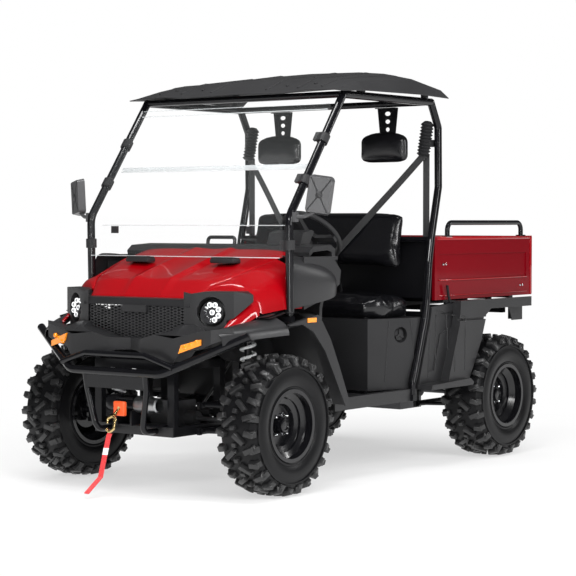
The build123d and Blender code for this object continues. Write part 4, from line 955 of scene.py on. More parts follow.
# ---------------------------------------------------------------- belts
ANCHOR_X = 0.556                # middle of a belt's upper end, beside the pillar
BUCKLE_X = 0.117                # middle of a buckle
TAPE_HALF = 0.0175              # half the width of the slanting webbing
UPRIGHT_HALF = 0.0190           # half the width of the webbing beside the pillar
BOOT_FOLDS, FOLD_PITCH = 10, 0.0168
# columns: out from the middle, behind the front axle and above the ground
BUCKLE_STALK = [(0.110, 1.196, 0.762), (0.110, 1.195, 0.90), (0.112, 1.150, 0.935), (0.114, 1.122, 0.970),
                (0.116, 1.112, 1.010)]


def belt_tapes(sign):
    """A belt's slanting run to its buckle, and its upright run beside the pillar."""
    high = Vector((sign * ANCHOR_X, front(1.276), 1.562))
    low = Vector((sign * BUCKLE_X, front(1.1135), 1.058))
    run = low - high
    tape = subdivide(cube((-TAPE_HALF, -0.0009, 0), (TAPE_HALF, 0.0009, run.length)), 12)
    for vertex in tape.data.vertices:
        share = vertex.co.z / run.length
        vertex.co.y += 0.006 * math.sin(math.pi * share) + 0.002 * math.sin(7 * share)
    along = run.normalized()
    across = along.cross(Vector((0.35 * sign, -1, 0.25)).normalized()).normalized()
    move(tape, high, Matrix((across, along.cross(across), along)).transposed().to_4x4())
    upright = cube((sign * ANCHOR_X - UPRIGHT_HALF, front(1.298), 0.900),
                   (sign * ANCHOR_X + UPRIGHT_HALF, front(1.300), 1.566), 0.0004, 1)
    return [tape, upright]


def belt_boot(sign):
    """Bellows boot of a belt's upper end, with its bracket."""
    folds = []
    for fold in range(BOOT_FOLDS):
        x = 0.002 + fold * FOLD_PITCH
        folds += [(x, 0.0240), (x + 0.008, 0.0335)]
    boot = lathe([(0.0, 0.004), *folds, (0.178, 0.019), (0.178, 0.004)], 28)
    move(boot, (sign * ANCHOR_X, front(1.268), 1.556), aim((0, 0.046, 0.178), "X", "Y"))
    bracket = cube((sign * ANCHOR_X - 0.03 * (sign < 0), front(1.287), 1.602),
                   (sign * ANCHOR_X + 0.03 * (sign > 0), front(1.334), 1.638), 0.003)
    return [boot, bracket]


def belt_buckle(sign):
    """Stalk and latch of a belt's buckle."""
    stalk = pipe([(sign * x, front(y), z) for x, y, z in BUCKLE_STALK], 0.0075)
    latch = cube((sign * BUCKLE_X - TAPE_HALF, front(1.098), 1.001),
                 (sign * BUCKLE_X + TAPE_HALF, front(1.125), 1.0595), 0.005, 3)
    return [stalk, latch]


def for_sides(maker):
    """All pieces that a maker builds for the left and the right side."""
    return [piece for sign in SIDES.values() for piece in maker(sign)]


class VEHICLE_OT_belts(bpy.types.Operator):
    """Model the belt webbing, its bellows boots and the buckles"""

    bl_idname = "vehicle.belts"
    bl_label = "Seat Belts"

    def execute(self, context):
        place(smooth(join(for_sides(belt_tapes), "tapes")), "belt_tapes", belt_black(), "frame",
              ["belt_webbing"], "webbing")
        place(smooth(join(for_sides(belt_boot), "boots"), 50), "belt_boots", soft_rubber(), "frame",
              ["belt_reels"], "black_plastic")
        place(smooth(join(for_sides(belt_buckle), "latches")), "belt_buckles", dark_moulding(), "frame")
        return {"FINISHED"}


# ---------------------------------------------------------------- springs
WIRE_RADIUS, COIL_RADIUS, COIL_STEPS = 0.0072, 0.0330, 14
SPRING_START, SPRING_LENGTH = 0.205, 0.70       # as parts of the length of the shock absorber
# columns: foot and head of each left shock absorber, and coils
SHOCKS = [
    ((0.405, front(0.052), 0.289), (0.392, front(0.052), 0.739), 7),
    ((0.405, front(1.940), 0.4108), (0.380, front(1.940), 0.739), 6),
]


def spring(foot, head, coils):
    """Coil spring between the foot and the head of a shock absorber."""
    foot, run = Vector(foot), Vector(head) - Vector(foot)
    facing = run.to_track_quat("Z", "Y").to_matrix()
    points = []
    for step in range(coils * COIL_STEPS + 1):
        turn = step / COIL_STEPS * math.tau
        share = SPRING_START + SPRING_LENGTH * step / (coils * COIL_STEPS)
        around = facing @ Vector((COIL_RADIUS * math.cos(turn), COIL_RADIUS * math.sin(turn), 0))
        points.append(foot + run * share + around)
    return pipe(points, WIRE_RADIUS, resolution=2)


class VEHICLE_OT_springs(bpy.types.Operator):
    """Wind the coil springs on the shock absorbers"""

    bl_idname = "vehicle.springs"
    bl_label = "Springs"

    def execute(self, context):
        left = join([spring(*row) for row in SHOCKS], "springs")
        both = join(both_sides([left]), "springs")
        place(smooth(both, 60), "coil_springs", coil_silver(), "frame", ["springs"], "coil_silver")
        return {"FINISHED"}


# ---------------------------------------------------------------- lamps
DIODES, DIODE_CIRCLE = 8, 0.0358                # diodes round the middle one, and their circle's radius


def lamp_places():
    """Matrix of each diode of the two headlamps, for a piece about X at the origin."""
    turns = [math.tau * (spot + 0.5) / DIODES for spot in range(DIODES)]
    spots = [(0, 0)] + [(DIODE_CIRCLE * math.cos(turn), DIODE_CIRCLE * math.sin(turn)) for turn in turns]
    places = []
    for sign in SIDES.values():
        lamp = Matrix.Translation((sign * 0.405, front(-0.219), 0.824)) @ aim((sign * 0.09, -1, 0.05))
        places += [lamp @ Matrix.Translation((0, y, z)) for y, z in spots]
    return places


class VEHICLE_OT_lamps(bpy.types.Operator):
    """Fit the diodes of the headlamps and the cups round them"""

    bl_idname = "vehicle.lamps"
    bl_label = "Lamps"

    def execute(self, context):
        lens = lathe([(-0.006, 0.0066), (0.0030, 0.0064), (0.0052, 0.0045), (0.0060, 0.0005),
                      (-0.006, 0.0005)], 16)
        cup = lathe([(-0.004, 0.0070), (0.0035, 0.0078), (0.0040, 0.0112), (0.0025, 0.0124),
                     (-0.004, 0.0124)], 16)
        lenses = join([copy_of(lens, where) for where in lamp_places()], "lenses")
        cups = join([copy_of(cup, where) for where in lamp_places()], "cups")
        discard([lens, cup])
        # the diodes and the cups round them carry painted glow
        place(smooth(lenses, 60), "lamp_diodes", led_white(), "frame")
        place(smooth(cups, 60), "lamp_cups", lamp_chrome(), "frame")
        return {"FINISHED"}


# ---------------------------------------------------------------- grille net
NET_PITCH_X, NET_PITCH_Z, NET_WALL = 0.0210, 0.0130, 0.0046
NET_SHOULDER, NET_NARROWING = 0.10, 1.9         # depth below the top where it narrows, and how fast
NET_FOOT_HALF, NET_FOOT_RISE = 0.09, 0.24       # half its level foot, and how fast the rest rises


def net_cell():
    """One hexagonal ring of the net, facing forwards at the origin."""
    clear_selection()
    bpy.ops.mesh.primitive_circle_add(vertices=6, radius=1, fill_type="NGON", rotation=(math.pi / 2, 0, 0),
                                      location=(0, 0, 0))
    cell = bpy.context.object
    cell.scale = (NET_PITCH_X / 1.5, NET_PITCH_Z / math.sqrt(3), 1)
    settle(cell)
    bpy.ops.object.mode_set(mode="EDIT")
    bpy.ops.mesh.select_all(action="SELECT")
    bpy.ops.mesh.inset(thickness=NET_WALL / 2)
    bpy.ops.mesh.delete(type="FACE")
    bpy.ops.object.mode_set(mode="OBJECT")
    return cell


class VEHICLE_OT_grille(bpy.types.Operator):
    """Make the honeycomb net of the grille"""

    bl_idname = "vehicle.grille"
    bl_label = "Grille"

    def execute(self, context):
        low, high = [Vector(v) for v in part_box("grille")]
        cell, cells = net_cell(), []
        half = (high.x - low.x) / 2
        columns = int(half / NET_PITCH_X) + 1
        rows = int((high.z - low.z) / NET_PITCH_Z) + 2
        y = (low.y + high.y) / 2 - 0.0015
        for column in range(-columns, columns + 1):
            for row in range(rows):
                x, z = column * NET_PITCH_X, low.z + (row + 0.5 * (column % 2)) * NET_PITCH_Z
                edge = half - max(0, (high.z - z) - NET_SHOULDER) * NET_NARROWING
                foot = low.z + max(0, abs(x) - NET_FOOT_HALF) * NET_FOOT_RISE
                if abs(x) <= edge - 0.004 and foot - 0.002 <= z <= high.z:
                    cells.append(copy_of(cell, Matrix.Translation((x, y, z))))
        discard([cell])
        net = join(cells, "net")
        modify(net, "WELD", merge_threshold=0.0004)
        modify(net, "SOLIDIFY", thickness=0.005, offset=0)
        place(smooth(net, 30), "grille_net", net_black(), "frame", ["grille"], "grille_black")
        return {"FINISHED"}


# ---------------------------------------------------------------- moulded and pressed body parts
# columns: solid, rounding of its edges, finish and slot
ROUNDED = [
    ("front_fascia", 0.0045, moulded_black, "black_plastic"),
    ("fender_flares", 0.005, moulded_black, "black_plastic"),
    ("rear_fenders", 0.005, moulded_black, "black_plastic"),
    ("seat_base", 0.006, moulded_black, "black_plastic"),
    ("dash", 0.008, moulded_black, "black_plastic"),
    ("mirrors", 0.006, mirror_grey, "mirror_shell"),
    ("floor", 0.003, moulded_black, "black_plastic"),
    ("roof", 0.004, roof_plastic, "roof_plastic"),
    ("bed_sides", 0.0015, bed_red_painted_shade, "red_bed"),
]
# planes that trim the swept-back bumper and flares: a point, and the direction of the side taken off
SWEEP = [((sign * 0.470, front(-0.352), 0.7), (sign * 0.70, -0.715, 0)) for sign in (1, -1)]
FLARE_TOP = [((sign * 0.60, front(-0.30), 0.768), (sign * 0.0146, -0.0059, 0.0337)) for sign in (1, -1)]
FLARE_TOP += [((sign * 0.70, front(-0.040), 0.7), (sign * 0.5, -1, 0)) for sign in (1, -1)]
CUTS = {"front_fascia": SWEEP, "fender_flares": SWEEP + FLARE_TOP}
MOULDING_WALL = 0.004
# columns: distance behind the front axle, x of the inner edge, z of the top, x and z of the outer lip
NOSE = [
    (-0.310, 0.462, 0.748, 0.536, 0.724),
    (-0.262, 0.474, 0.762, 0.572, 0.738),
    (-0.190, 0.498, 0.778, 0.614, 0.750),
    (-0.110, 0.540, 0.796, 0.652, 0.757),
    (-0.030, 0.572, 0.815, 0.690, 0.764),
]
# columns: distance behind the front axle, z of the top and the foot, and bulge
FAIRING = [
    (0.105, 1.074, 0.832, 0.0),
    (0.150, 1.074, 0.838, 0.008),
    (0.230, 1.069, 0.848, 0.018),
    (0.310, 1.056, 0.858, 0.024),
    (0.380, 1.034, 0.868, 0.024),
    (0.430, 1.008, 0.878, 0.014),
    (0.462, 0.980, 0.892, -0.006),
    (0.480, 0.955, 0.908, -0.034),
]


def flare_nose():
    """Moulding that closes the corner between the bumper and the wheel arch flare."""
    rows = []
    for y, inner, top, outer, lip in NOSE:
        wide = outer - inner
        rows.append([(inner, front(y), top - 0.030), (inner + 0.006, front(y), top),
                     (inner + wide * 0.5, front(y), (top + lip) / 2 + 0.006), (outer, front(y), lip),
                     (outer + 0.002, front(y), lip - 0.040)])
    return sheet(rows, MOULDING_WALL, levels=2)


def fairing():
    """Rounded side moulding of the dash behind the windscreen pillar."""
    rows = []
    for y, top, low, out in FAIRING:
        tall = top - low
        rows.append([(0.548, front(y), top), (0.590 + min(out, 0), front(y), top - 0.008),
                     (0.606 + out, front(y), top - tall * 0.25), (0.610 + out, front(y), top - tall * 0.6),
                     (0.604 + out * 0.6, front(y), low)])
    return sheet(rows, MOULDING_WALL, levels=2)


def hit_on(node, start, direction):
    """Where a ray first meets a solid, or None."""
    solid = bpy.data.objects[node]
    inverse = solid.matrix_world.inverted()
    ray = (inverse.to_3x3() @ Vector(direction)).normalized()
    hit, where, _, _ = solid.ray_cast(inverse @ Vector(start), ray)
    return solid.matrix_world @ where if hit else None


# raised lines of the side mouldings: solid, then start and end, each behind the axle and above the ground
PANEL_LINES = [
    ("seat_base", (0.545, 0.735), (0.545, 0.450)), ("seat_base", (0.545, 0.735), (0.800, 0.735)),
    ("seat_base", (0.800, 0.735), (0.800, 0.450)), ("seat_base", (0.545, 0.450), (0.800, 0.450)),
    ("seat_base", (0.660, 0.720), (0.660, 0.465)), ("seat_base", (0.860, 0.745), (0.860, 0.440)),
    ("seat_base", (0.985, 0.740), (0.960, 0.440)), ("seat_base", (1.110, 0.740), (1.145, 0.440)),
    ("rear_fenders", (1.240, 0.760), (1.215, 0.450)), ("rear_fenders", (1.300, 0.780), (1.500, 0.740)),
    ("rear_fenders", (1.300, 0.780), (1.290, 0.470)), ("rear_fenders", (1.500, 0.740), (1.490, 0.470)),
    ("rear_fenders", (1.400, 0.765), (1.395, 0.470)),
]
LINE_RADIUS, LINE_STEPS = 0.0042, 10
LINE_INNER_X = 0.42             # a line stops where the solid lies further in than this
RIB_RADIUS, RIB_STEPS = 0.0065, 14
RIB_TOP = 1.9735                # highest place of a rib's middle, which keeps it inside the roof's box
MIRROR_CENTRE = (0.729, 0.150, 1.347)           # out, behind the front axle, and above the ground
MIRROR_TURN, MIRROR_LEAN = math.radians(28), math.radians(8)


def panel_ribs():
    """Raised lines of the side mouldings."""
    lines = []
    for node, start, end in PANEL_LINES:
        path = []
        for step in range(LINE_STEPS + 1):
            share = step / LINE_STEPS
            y, z = front(start[0] + (end[0] - start[0]) * share), start[1] + (end[1] - start[1]) * share
            spot = hit_on(node, (2.0, y, z), (-1, 0, 0))
            if spot is not None and spot.x > LINE_INNER_X:
                path.append((spot.x - 0.0012, y, z))
        if len(path) > 3:
            lines.append(pipe(path, LINE_RADIUS, smooth_path=False, resolution=2))
    return both_sides(lines)


def roof_ribs():
    """Raised ribs and the screws of the roof panel."""
    low, high = [Vector(v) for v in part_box("roof")]
    pieces = []
    for x in (0.17, 0.36, 0.50):
        path = []
        for step in range(RIB_STEPS + 1):
            y = low.y + 0.05 + (high.y - low.y - 0.12) * step / RIB_STEPS
            spot = hit_on("roof", (x, y, 3.0), (0, 0, -1))
            if spot is not None:
                path.append((x, y, min(spot.z - 0.002, RIB_TOP)))
        if len(path) > 2:
            pieces.append(pipe(path, RIB_RADIUS, smooth_path=False, resolution=3))
    for x in (0.26, 0.43):
        for y in (low.y + 0.10, low.y + 0.33):
            spot = hit_on("roof", (x, y, 3.0), (0, 0, -1))
            if spot is not None:
                pieces.append(bar((x, y, spot.z - 0.002), (x, y, spot.z + 0.004), 0.009, 18, bevel=0.0015))
    return both_sides(pieces)


def mirror_ribs():
    """Crossed ribs on the backs of the mirror shells, with their hubs."""
    pieces = []
    x, y, z = MIRROR_CENTRE
    for sign in SIDES.values():
        facing = Vector((sign * math.sin(MIRROR_TURN), -math.cos(MIRROR_TURN), 0))
        across = Vector((math.cos(MIRROR_TURN), sign * math.sin(MIRROR_TURN), 0))
        lean = Matrix.Rotation(-sign * MIRROR_LEAN, 4, facing)
        centre = Vector((sign * x, front(y), z)) + facing * 0.0355
        for a, b in [(1, 1), (1, -1), (-1, 1), (-1, -1)]:
            end = lean @ (across * a * 0.046 + Vector((0, 0, b * 0.075)))
            pieces.append(pipe([centre, centre + end * 0.55, centre + end], 0.0030, smooth_path=False,
                               resolution=2))
        pieces.append(bar(centre - facing * 0.004, centre + facing * 0.004, 0.016, 28, bevel=0.002))
    return pieces


class VEHICLE_OT_body(bpy.types.Operator):
    """Round the moulded and pressed body parts, and add their ribs and corner mouldings"""

    bl_idname = "vehicle.body"
    bl_label = "Body Parts"

    def execute(self, context):
        # the solids have to be evaluated before rays are cast at them, and shown until then
        context.view_layer.update()
        ribs, lines = join(roof_ribs(), "ribs"), join(panel_ribs(), "lines")
        for node, width, maker, slot in ROUNDED:
            body = "cargo_bed" if node == "bed_sides" else "frame"
            place(softened(node, width, cuts=CUTS.get(node, ())), node + "_rounded", maker(), body, [node],
                  slot)
        for name, maker in [("flare_noses", flare_nose), ("dash_fairings", fairing)]:
            place(smooth(join(both_sides([maker()]), name), 60), name, moulded_black(), "frame")
        place(smooth(lines, 60), "panel_lines", moulded_black(), "frame")
        place(smooth(ribs, 60), "roof_ribs", roof_plastic(), "frame")
        place(smooth(join(mirror_ribs(), "ribs"), 50), "mirror_ribs", moulded_black(), "frame")
        return {"FINISHED"}


# ---------------------------------------------------------------- hood and cowls
# columns: distance behind the front axle, then z at the middle, ridge, valley, shoulder and seam, and
# the seam's x
HOOD = [
    (-0.232, 0.881, 0.887, 0.882, 0.885, 0.880, 0.322),
    (-0.205, 0.912, 0.916, 0.908, 0.906, 0.896, 0.330),
    (-0.150, 0.964, 0.974, 0.960, 0.958, 0.945, 0.356),
    (-0.080, 0.986, 0.998, 0.982, 0.983, 0.975, 0.403),
    (0.060, 1.026, 1.040, 1.022, 1.030, 1.021, 0.429),
    (0.185, 1.066, 1.078, 1.064, 1.066, 1.056, 0.448),
    (0.290, 1.096, 1.106, 1.096, 1.094, 1.082, 0.452),
]
# columns: distance behind the front axle, then x and z at seam, shoulder, flank and foot
COWL = [
    (-0.185, 0.339, 0.913, 0.342, 0.912, 0.345, 0.911, 0.348, 0.908),
    (-0.150, 0.356, 0.945, 0.378, 0.943, 0.400, 0.935, 0.420, 0.916),
    (-0.115, 0.380, 0.960, 0.418, 0.955, 0.460, 0.940, 0.494, 0.908),
    (-0.092, 0.395, 0.970, 0.445, 0.958, 0.495, 0.930, 0.520, 0.876),
    (-0.080, 0.403, 0.975, 0.455, 0.952, 0.535, 0.900, 0.562, 0.812),
    (0.060, 0.429, 1.021, 0.500, 0.985, 0.580, 0.915, 0.600, 0.834),
    (0.185, 0.450, 1.056, 0.520, 1.030, 0.588, 0.960, 0.604, 0.832),
]
COWL_FRONT = [
    (-0.240, 0.485, 0.757, 0.490, 0.756, 0.496, 0.755, 0.502, 0.752),
    (-0.160, 0.485, 0.820, 0.498, 0.812, 0.522, 0.792, 0.536, 0.770),
    (-0.090, 0.485, 0.876, 0.505, 0.870, 0.545, 0.850, 0.556, 0.802),
    (-0.078, 0.470, 0.890, 0.505, 0.885, 0.550, 0.862, 0.563, 0.810),
]
HOOD_PLACES = (-0.2325, -0.231, -0.222, -0.205, -0.180, -0.150, -0.145, -0.08, 0.0, 0.06, 0.14, 0.22, 0.27,
               0.288)
COWL_PLACES = (-0.185, -0.168, -0.150, -0.132, -0.115, -0.103, -0.092, -0.080, -0.045, 0.0, 0.06, 0.12,
               0.160, 0.185)
COWL_FRONT_PLACES = (-0.240, -0.20, -0.160, -0.12, -0.090, -0.078)
LIP_PLACE, LIP_DROP = -0.232, 0.010             # the hood turns down ahead of this place
COWL_BULGE = [0, 0, 0.0012, 0.0024, 0.0036, 0.0036, 0.0024, 0.0012, 0]


def hood_skin():
    """Hood with two raised ridges, a rolled front lip and turned side edges."""
    rows = []
    for y in HOOD_PLACES:
        middle, ridge, valley, shoulder, seam, seam_x = blend(HOOD, y)
        drop = LIP_DROP if y < LIP_PLACE else 0.0
        half = [(0.0, middle), (0.060, middle + (ridge - middle) * 0.35), (0.094, ridge - 0.003),
                (0.105, ridge), (0.116, ridge - 0.003), (0.142, valley + 0.001), (0.152, valley),
                (seam_x * 0.62, (valley + shoulder) / 2 + 0.003), (seam_x * 0.80, shoulder + 0.001),
                (seam_x * 0.93, (shoulder + seam) / 2 + 0.001), (seam_x - 0.003, seam),
                (seam_x, seam - 0.006)]
        points = [(-x, z) for x, z in reversed(half[1:])] + half
        rows.append([(x, front(y), z - drop) for x, z in points])
    return smooth(sheet(rows, 0.004, levels=1), 35)


def cowl_skin(table, places):
    """Bulged side skin beside the hood, between two places along the vehicle."""
    rows = []
    for y in places:
        values = blend(table, y)
        corners = [Vector(pair) for pair in zip(values[::2], values[1::2])]
        row = [corners[0] - Vector((0.001, 0.008)), corners[0]]
        for a, b in zip(corners, corners[1:]):
            row += [a.lerp(b, 0.33), a.lerp(b, 0.67)]
        row.append(corners[-1])
        rows.append([(point.x + out, front(y), point.y + out) for point, out in zip(row, COWL_BULGE)])
    return sheet(rows, 0.003, levels=1)


class VEHICLE_OT_hood(bpy.types.Operator):
    """Model the hood and the two cowls"""

    bl_idname = "vehicle.hood"
    bl_label = "Hood"

    def execute(self, context):
        place(hood_skin(), "hood_skin", gloss_red(), "frame", ["hood"], "red_gloss")
        left = join([cowl_skin(COWL, COWL_PLACES), cowl_skin(COWL_FRONT, COWL_FRONT_PLACES)], "cowl")
        place(smooth(join(both_sides([left]), "cowls"), 40), "cowl_skins", gloss_red(), "frame",
              ["side_cowls"], "red_gloss")
        return {"FINISHED"}


# ---------------------------------------------------------------- windscreen
# columns: foot, head, depth and half width of each fold and joint of the panes
FOLDS = [
    (1.468, 1.474, 0.006, 0.573), (1.488, 1.493, 0.006, 0.573), (1.474, 1.488, 0.0015, 0.573),
    (1.208, 1.212, 0.003, 0.575), (1.748, 1.752, 0.003, 0.572), (1.776, 1.779, 0.003, 0.572),
    (1.062, 1.066, 0.003, 0.575),
]
CATCH_X = 0.259                 # middle of a catch on the hood, out from the middle of the vehicle


class VEHICLE_OT_windscreen(bpy.types.Operator):
    """Model the folded edges and joints of the windscreen and its catches"""

    bl_idname = "vehicle.windscreen"
    bl_label = "Windscreen"

    def execute(self, context):
        low, high = [Vector(v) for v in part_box("windshield")]
        strips = []
        for foot, head, depth, half in FOLDS:
            y = high.y - (high.z - (foot + head) / 2) / (high.z - low.z) * (high.y - low.y)
            strips.append(cube((-half, y - depth, foot), (half, y + 0.001, head), 0.0008))
        # the fold strips are painted highlights in a whitish finish
        place(smooth(join(strips, "strips")), "pane_strips", pane_edge_painted_highlight(), "frame")
        catches = []
        for sign in SIDES.values():
            for half, rise in [(0.068, 0.0), (0.058, 0.007)]:
                catches.append(cube((sign * CATCH_X - half, front(0.026) + rise, 1.036),
                                    (sign * CATCH_X + half, front(0.086) - rise, 1.056 + rise), 0.004))
        place(smooth(join(catches, "catches")), "screen_catches", soft_rubber(), "frame")
        return {"FINISHED"}


# ---------------------------------------------------------------- bed trim
class VEHICLE_OT_bed(bpy.types.Operator):
    """Model the folded edges and the bolts of the cargo bed"""

    bl_idname = "vehicle.bed"
    bl_label = "Bed Trim"

    def execute(self, context):
        low, high = [Vector(v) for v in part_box("bed_sides")]
        x = high.x - 0.0058
        edges = [cube((x - 0.002, low.y + 0.045, foot), (x + out, high.y - 0.055, head), 0.0012)
                 for foot, head, out in [(0.928, 0.934, 0.0055), (0.850, 0.854, 0.003)]]
        edges.append(cube((x - 0.003, high.y - 0.020, low.z + 0.004),
                          (x + 0.003, high.y - 0.001, high.z - 0.004), 0.0015))
        edges.append(cube((x - 0.003, low.y + 0.001, high.z - 0.016),
                          (x + 0.002, high.y - 0.001, high.z + 0.0015), 0.0015))
        bolts = [bar((x - 0.004, front(y), z), (x + 0.0035, front(y), z), 0.006, 18, bevel=0.0012)
                 for y, z in [(1.382, 1.012), (1.407, 1.012), (2.155, 0.887), (2.180, 0.887)]]
        # the folded edges take the brighter hood red, a painted highlight along the edges of the darker bed
        # sides
        place(smooth(join(both_sides(edges), "edges")), "bed_folds", gloss_red(), "cargo_bed",
              slot="red_bed")
        place(smooth(join(both_sides(bolts), "bolts")), "bed_bolts", chrome(), "cargo_bed")
        return {"FINISHED"}


# ---------------------------------------------------------------- winch
DRUM_Z = 0.402                  # height of the drum's axis
MOTOR_RIBS, RIB_PITCH = 8, 0.0062
BAND_LOW, BAND_HIGH = 0.186, 0.215              # white band of the strap
STOP_HALF, STOP_Z = 0.033, 0.385                # half the rope stop's width, and its middle


def winch_motor():
    """Motor case with its cooling ribs, about X at the origin."""
    case = lathe([(0.040, 0.030), (0.044, 0.036), (0.100, 0.036), (0.104, 0.040), (0.122, 0.040),
                  (0.126, 0.034), (0.165, 0.034), (0.171, 0.028), (0.040, 0.028)], 40)
    rib = lathe([(0.050, 0.034), (0.0506, 0.0385), (0.0530, 0.0385), (0.0536, 0.034)], 36)
    ribs = [copy_of(rib, Matrix.Translation((index * RIB_PITCH, 0, 0))) for index in range(MOTOR_RIBS)]
    discard([rib])
    return join([case, *ribs], "motor")


def winch_case(low, high, y):
    """Gear case, drum, deck, feet and tie bars between the corners of the winch's box."""
    gears = lathe([(-0.126, 0.020), (-0.122, 0.034), (-0.100, 0.040), (-0.062, 0.040), (-0.058, 0.030),
                   (-0.126, 0.012)], 40)
    drum = lathe([(-0.058, 0.026), (-0.052, 0.028), (0.036, 0.028), (0.040, 0.026), (-0.058, 0.020)], 36)
    parts = [move(gears, (0, y, DRUM_Z)), move(drum, (0, y, DRUM_Z))]
    parts.append(cube((low.x + 0.01, low.y + 0.03, low.z), (high.x - 0.01, high.y, low.z + 0.008), 0.002))
    for x0, x1 in [(-0.058, -0.046), (0.030, 0.042)]:
        parts.append(cube((x0, low.y + 0.02, low.z), (x1, high.y, 0.372), 0.003))
    for dy, dz in [(-0.030, 0.026), (0.03, 0.03)]:
        parts.append(bar((-0.06, y + dy, DRUM_Z + dz), (0.042, y + dy, DRUM_Z + dz), 0.005, 16))
    return join(parts, "case")


def rope_stop():
    """Drilled rubber block on the rope in front of the hook."""
    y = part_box("tow_hook")[1][1]
    stop = cube((-STOP_HALF, y - 0.024, STOP_Z - STOP_HALF), (STOP_HALF, y - 0.0005, STOP_Z + STOP_HALF),
                0.007, 3)
    return drill(stop, [bar((0, y - 0.04, STOP_Z), (0, y - 0.016, STOP_Z), 0.011, 24)])


class VEHICLE_OT_winch(bpy.types.Operator):
    """Model the winch's motor and gear case, the rope stop and the strap's white band"""

    bl_idname = "vehicle.winch"
    bl_label = "Winch"

    def execute(self, context):
        low, high = [Vector(v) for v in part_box("winch")]
        y = low.y + 0.062
        motor = move(winch_motor(), (0, y, DRUM_Z))
        place(smooth(motor, 35), "winch_motor", zinc(), "frame")
        place(smooth(winch_case(low, high, y), 35), "winch_case", frame_black(), "frame", ["winch"],
              "winch_grey")
        band = softened("pull_strap", 0.0002, cuts=[((0, 0, BAND_HIGH), (0, 0, 1)),
                                                    ((0, 0, BAND_LOW), (0, 0, -1))])
        modify(band, "DISPLACE", strength=0.0008, mid_level=0)
        place(band, "strap_band", strap_white(), "frame")
        place(smooth(rope_stop()), "rope_stop", stop_orange(), "frame")
        return {"FINISHED"}


# ---------------------------------------------------------------- signal lenses
class VEHICLE_OT_lenses(bpy.types.Operator):
    """Model the bulbs behind the signal lenses"""

    bl_idname = "vehicle.lenses"
    bl_label = "Signal Lenses"

    def execute(self, context):
        bulb = lathe([(-0.004, 0.0115), (0.004, 0.0105), (0.007, 0.007), (0.008, 0.001), (-0.004, 0.001)],
                     20)
        bulbs = []
        for sign in SIDES.values():
            for step in (-1, 0, 1):
                centre = (sign * (0.398 + step * 0.029), front(-0.3585 + step * 0.006), 0.687 + step * 0.012)
                bulbs.append(copy_of(bulb, Matrix.Translation(centre) @ aim((sign * 0.165, -1, 0.1))))
        discard([bulb])
        # the bulbs carry the amber lens's painted glow
        place(smooth(join(bulbs, "bulbs"), 50), "signal_bulbs", amber(), "frame", slot="amber")
        return {"FINISHED"}


# ---------------------------------------------------------------- finishes of the solids
# finish of each solid, also of those that a dressed piece replaces
FINISHES = [
    (gloss_red, ["hood", "side_cowls"]),
    (bed_red_painted_shade, ["bed_sides", "tailgate"]),
    (moulded_black, ["front_fascia", "fender_flares", "wheel_wells", "rear_fenders", "seat_base", "dash",
                     "skid_plate", "steering_column", "controls", "belt_reels", "floor"]),
    (roof_plastic, ["roof"]),
    (tube_black, ["roll_cage", "brush_guard", "bed_rails"]),
    (frame_black, ["chassis", "front_arms", "rear_arms", "knuckle_left", "knuckle_right", "tie_rods",
                   "exhaust", "shocks", "winch", "bed_floor", "bed_latch"]),
    (rim_black, ["rim_front_left", "rim_front_right", "rim_rear_left", "rim_rear_right"]),
    (tyre_rubber, ["tyre_front_left", "tyre_front_right", "tyre_rear_left", "tyre_rear_right"]),
    (vinyl, ["seat_cushion", "seat_back", "headrests"]),
    (soft_rubber, ["screen_clamps", "steering_wheel"]),
    (dark_moulding, ["mirrors"]),
    (mirror_face, ["mirror_glass"]),
    (clear_pane, ["windshield"]),
    (lamp_bowl, ["headlamps"]),
    (amber, ["signal_lamps"]),
    (tail_red, ["tail_lamps"]),
    (coil_silver, ["springs"]),
    (core_dark, ["radiator"]),
    (cast_metal, ["engine", "driveline"]),
    (hook_gold, ["tow_hook"]),
    (strap_red, ["pull_strap"]),
    (net_black, ["grille"]),
    (belt_black, ["belt_webbing"]),
]


class VEHICLE_OT_finishes(bpy.types.Operator):
    """Give every solid of the frame its finish"""

    bl_idname = "vehicle.finishes"
    bl_label = "Finishes"

    def execute(self, context):
        for maker, names in FINISHES:
            for name in names:
                for slot in bpy.data.objects[name].material_slots:
                    slot.material = maker()
        return {"FINISHED"}


# ---------------------------------------------------------------- stage
WORLD_LIGHT, GLOSS_LIGHT = 0.36, 0.09           # strength of the surroundings, and as gloss shows them
# columns: name, place, width, power and height of each area lamp
BROAD_LAMPS = [
    ("key", (5.0, -3.0, 4.5), 3.0, 225, 2.0),
    ("front", (1.0, -6.5, 2.6), 4.0, 110, 2.0),
    ("top", (0.0, 0.0, 5.2), 4.5, 120, 4.5),
    ("back", (-4.5, 3.0, 3.5), 3.0, 90, 3.0),
]
NARROW_LAMPS = [
    ("strip_side", (5.5, -1.0, 2.6), 0.5, 95, 2.6),
    ("strip_front", (2.6, -5.5, 3.2), 1.6, 80, 0.35),
    ("strip_top", (0.6, -1.2, 4.2), 2.2, 70, 0.4),
    ("strip_low", (3.4, -5.2, 0.9), 0.3, 34, 1.2),
    ("strip_rear", (4.6, 4.4, 2.9), 0.35, 46, 1.8),
]
LAMP_TARGET = Vector((0, 0, 0.9))


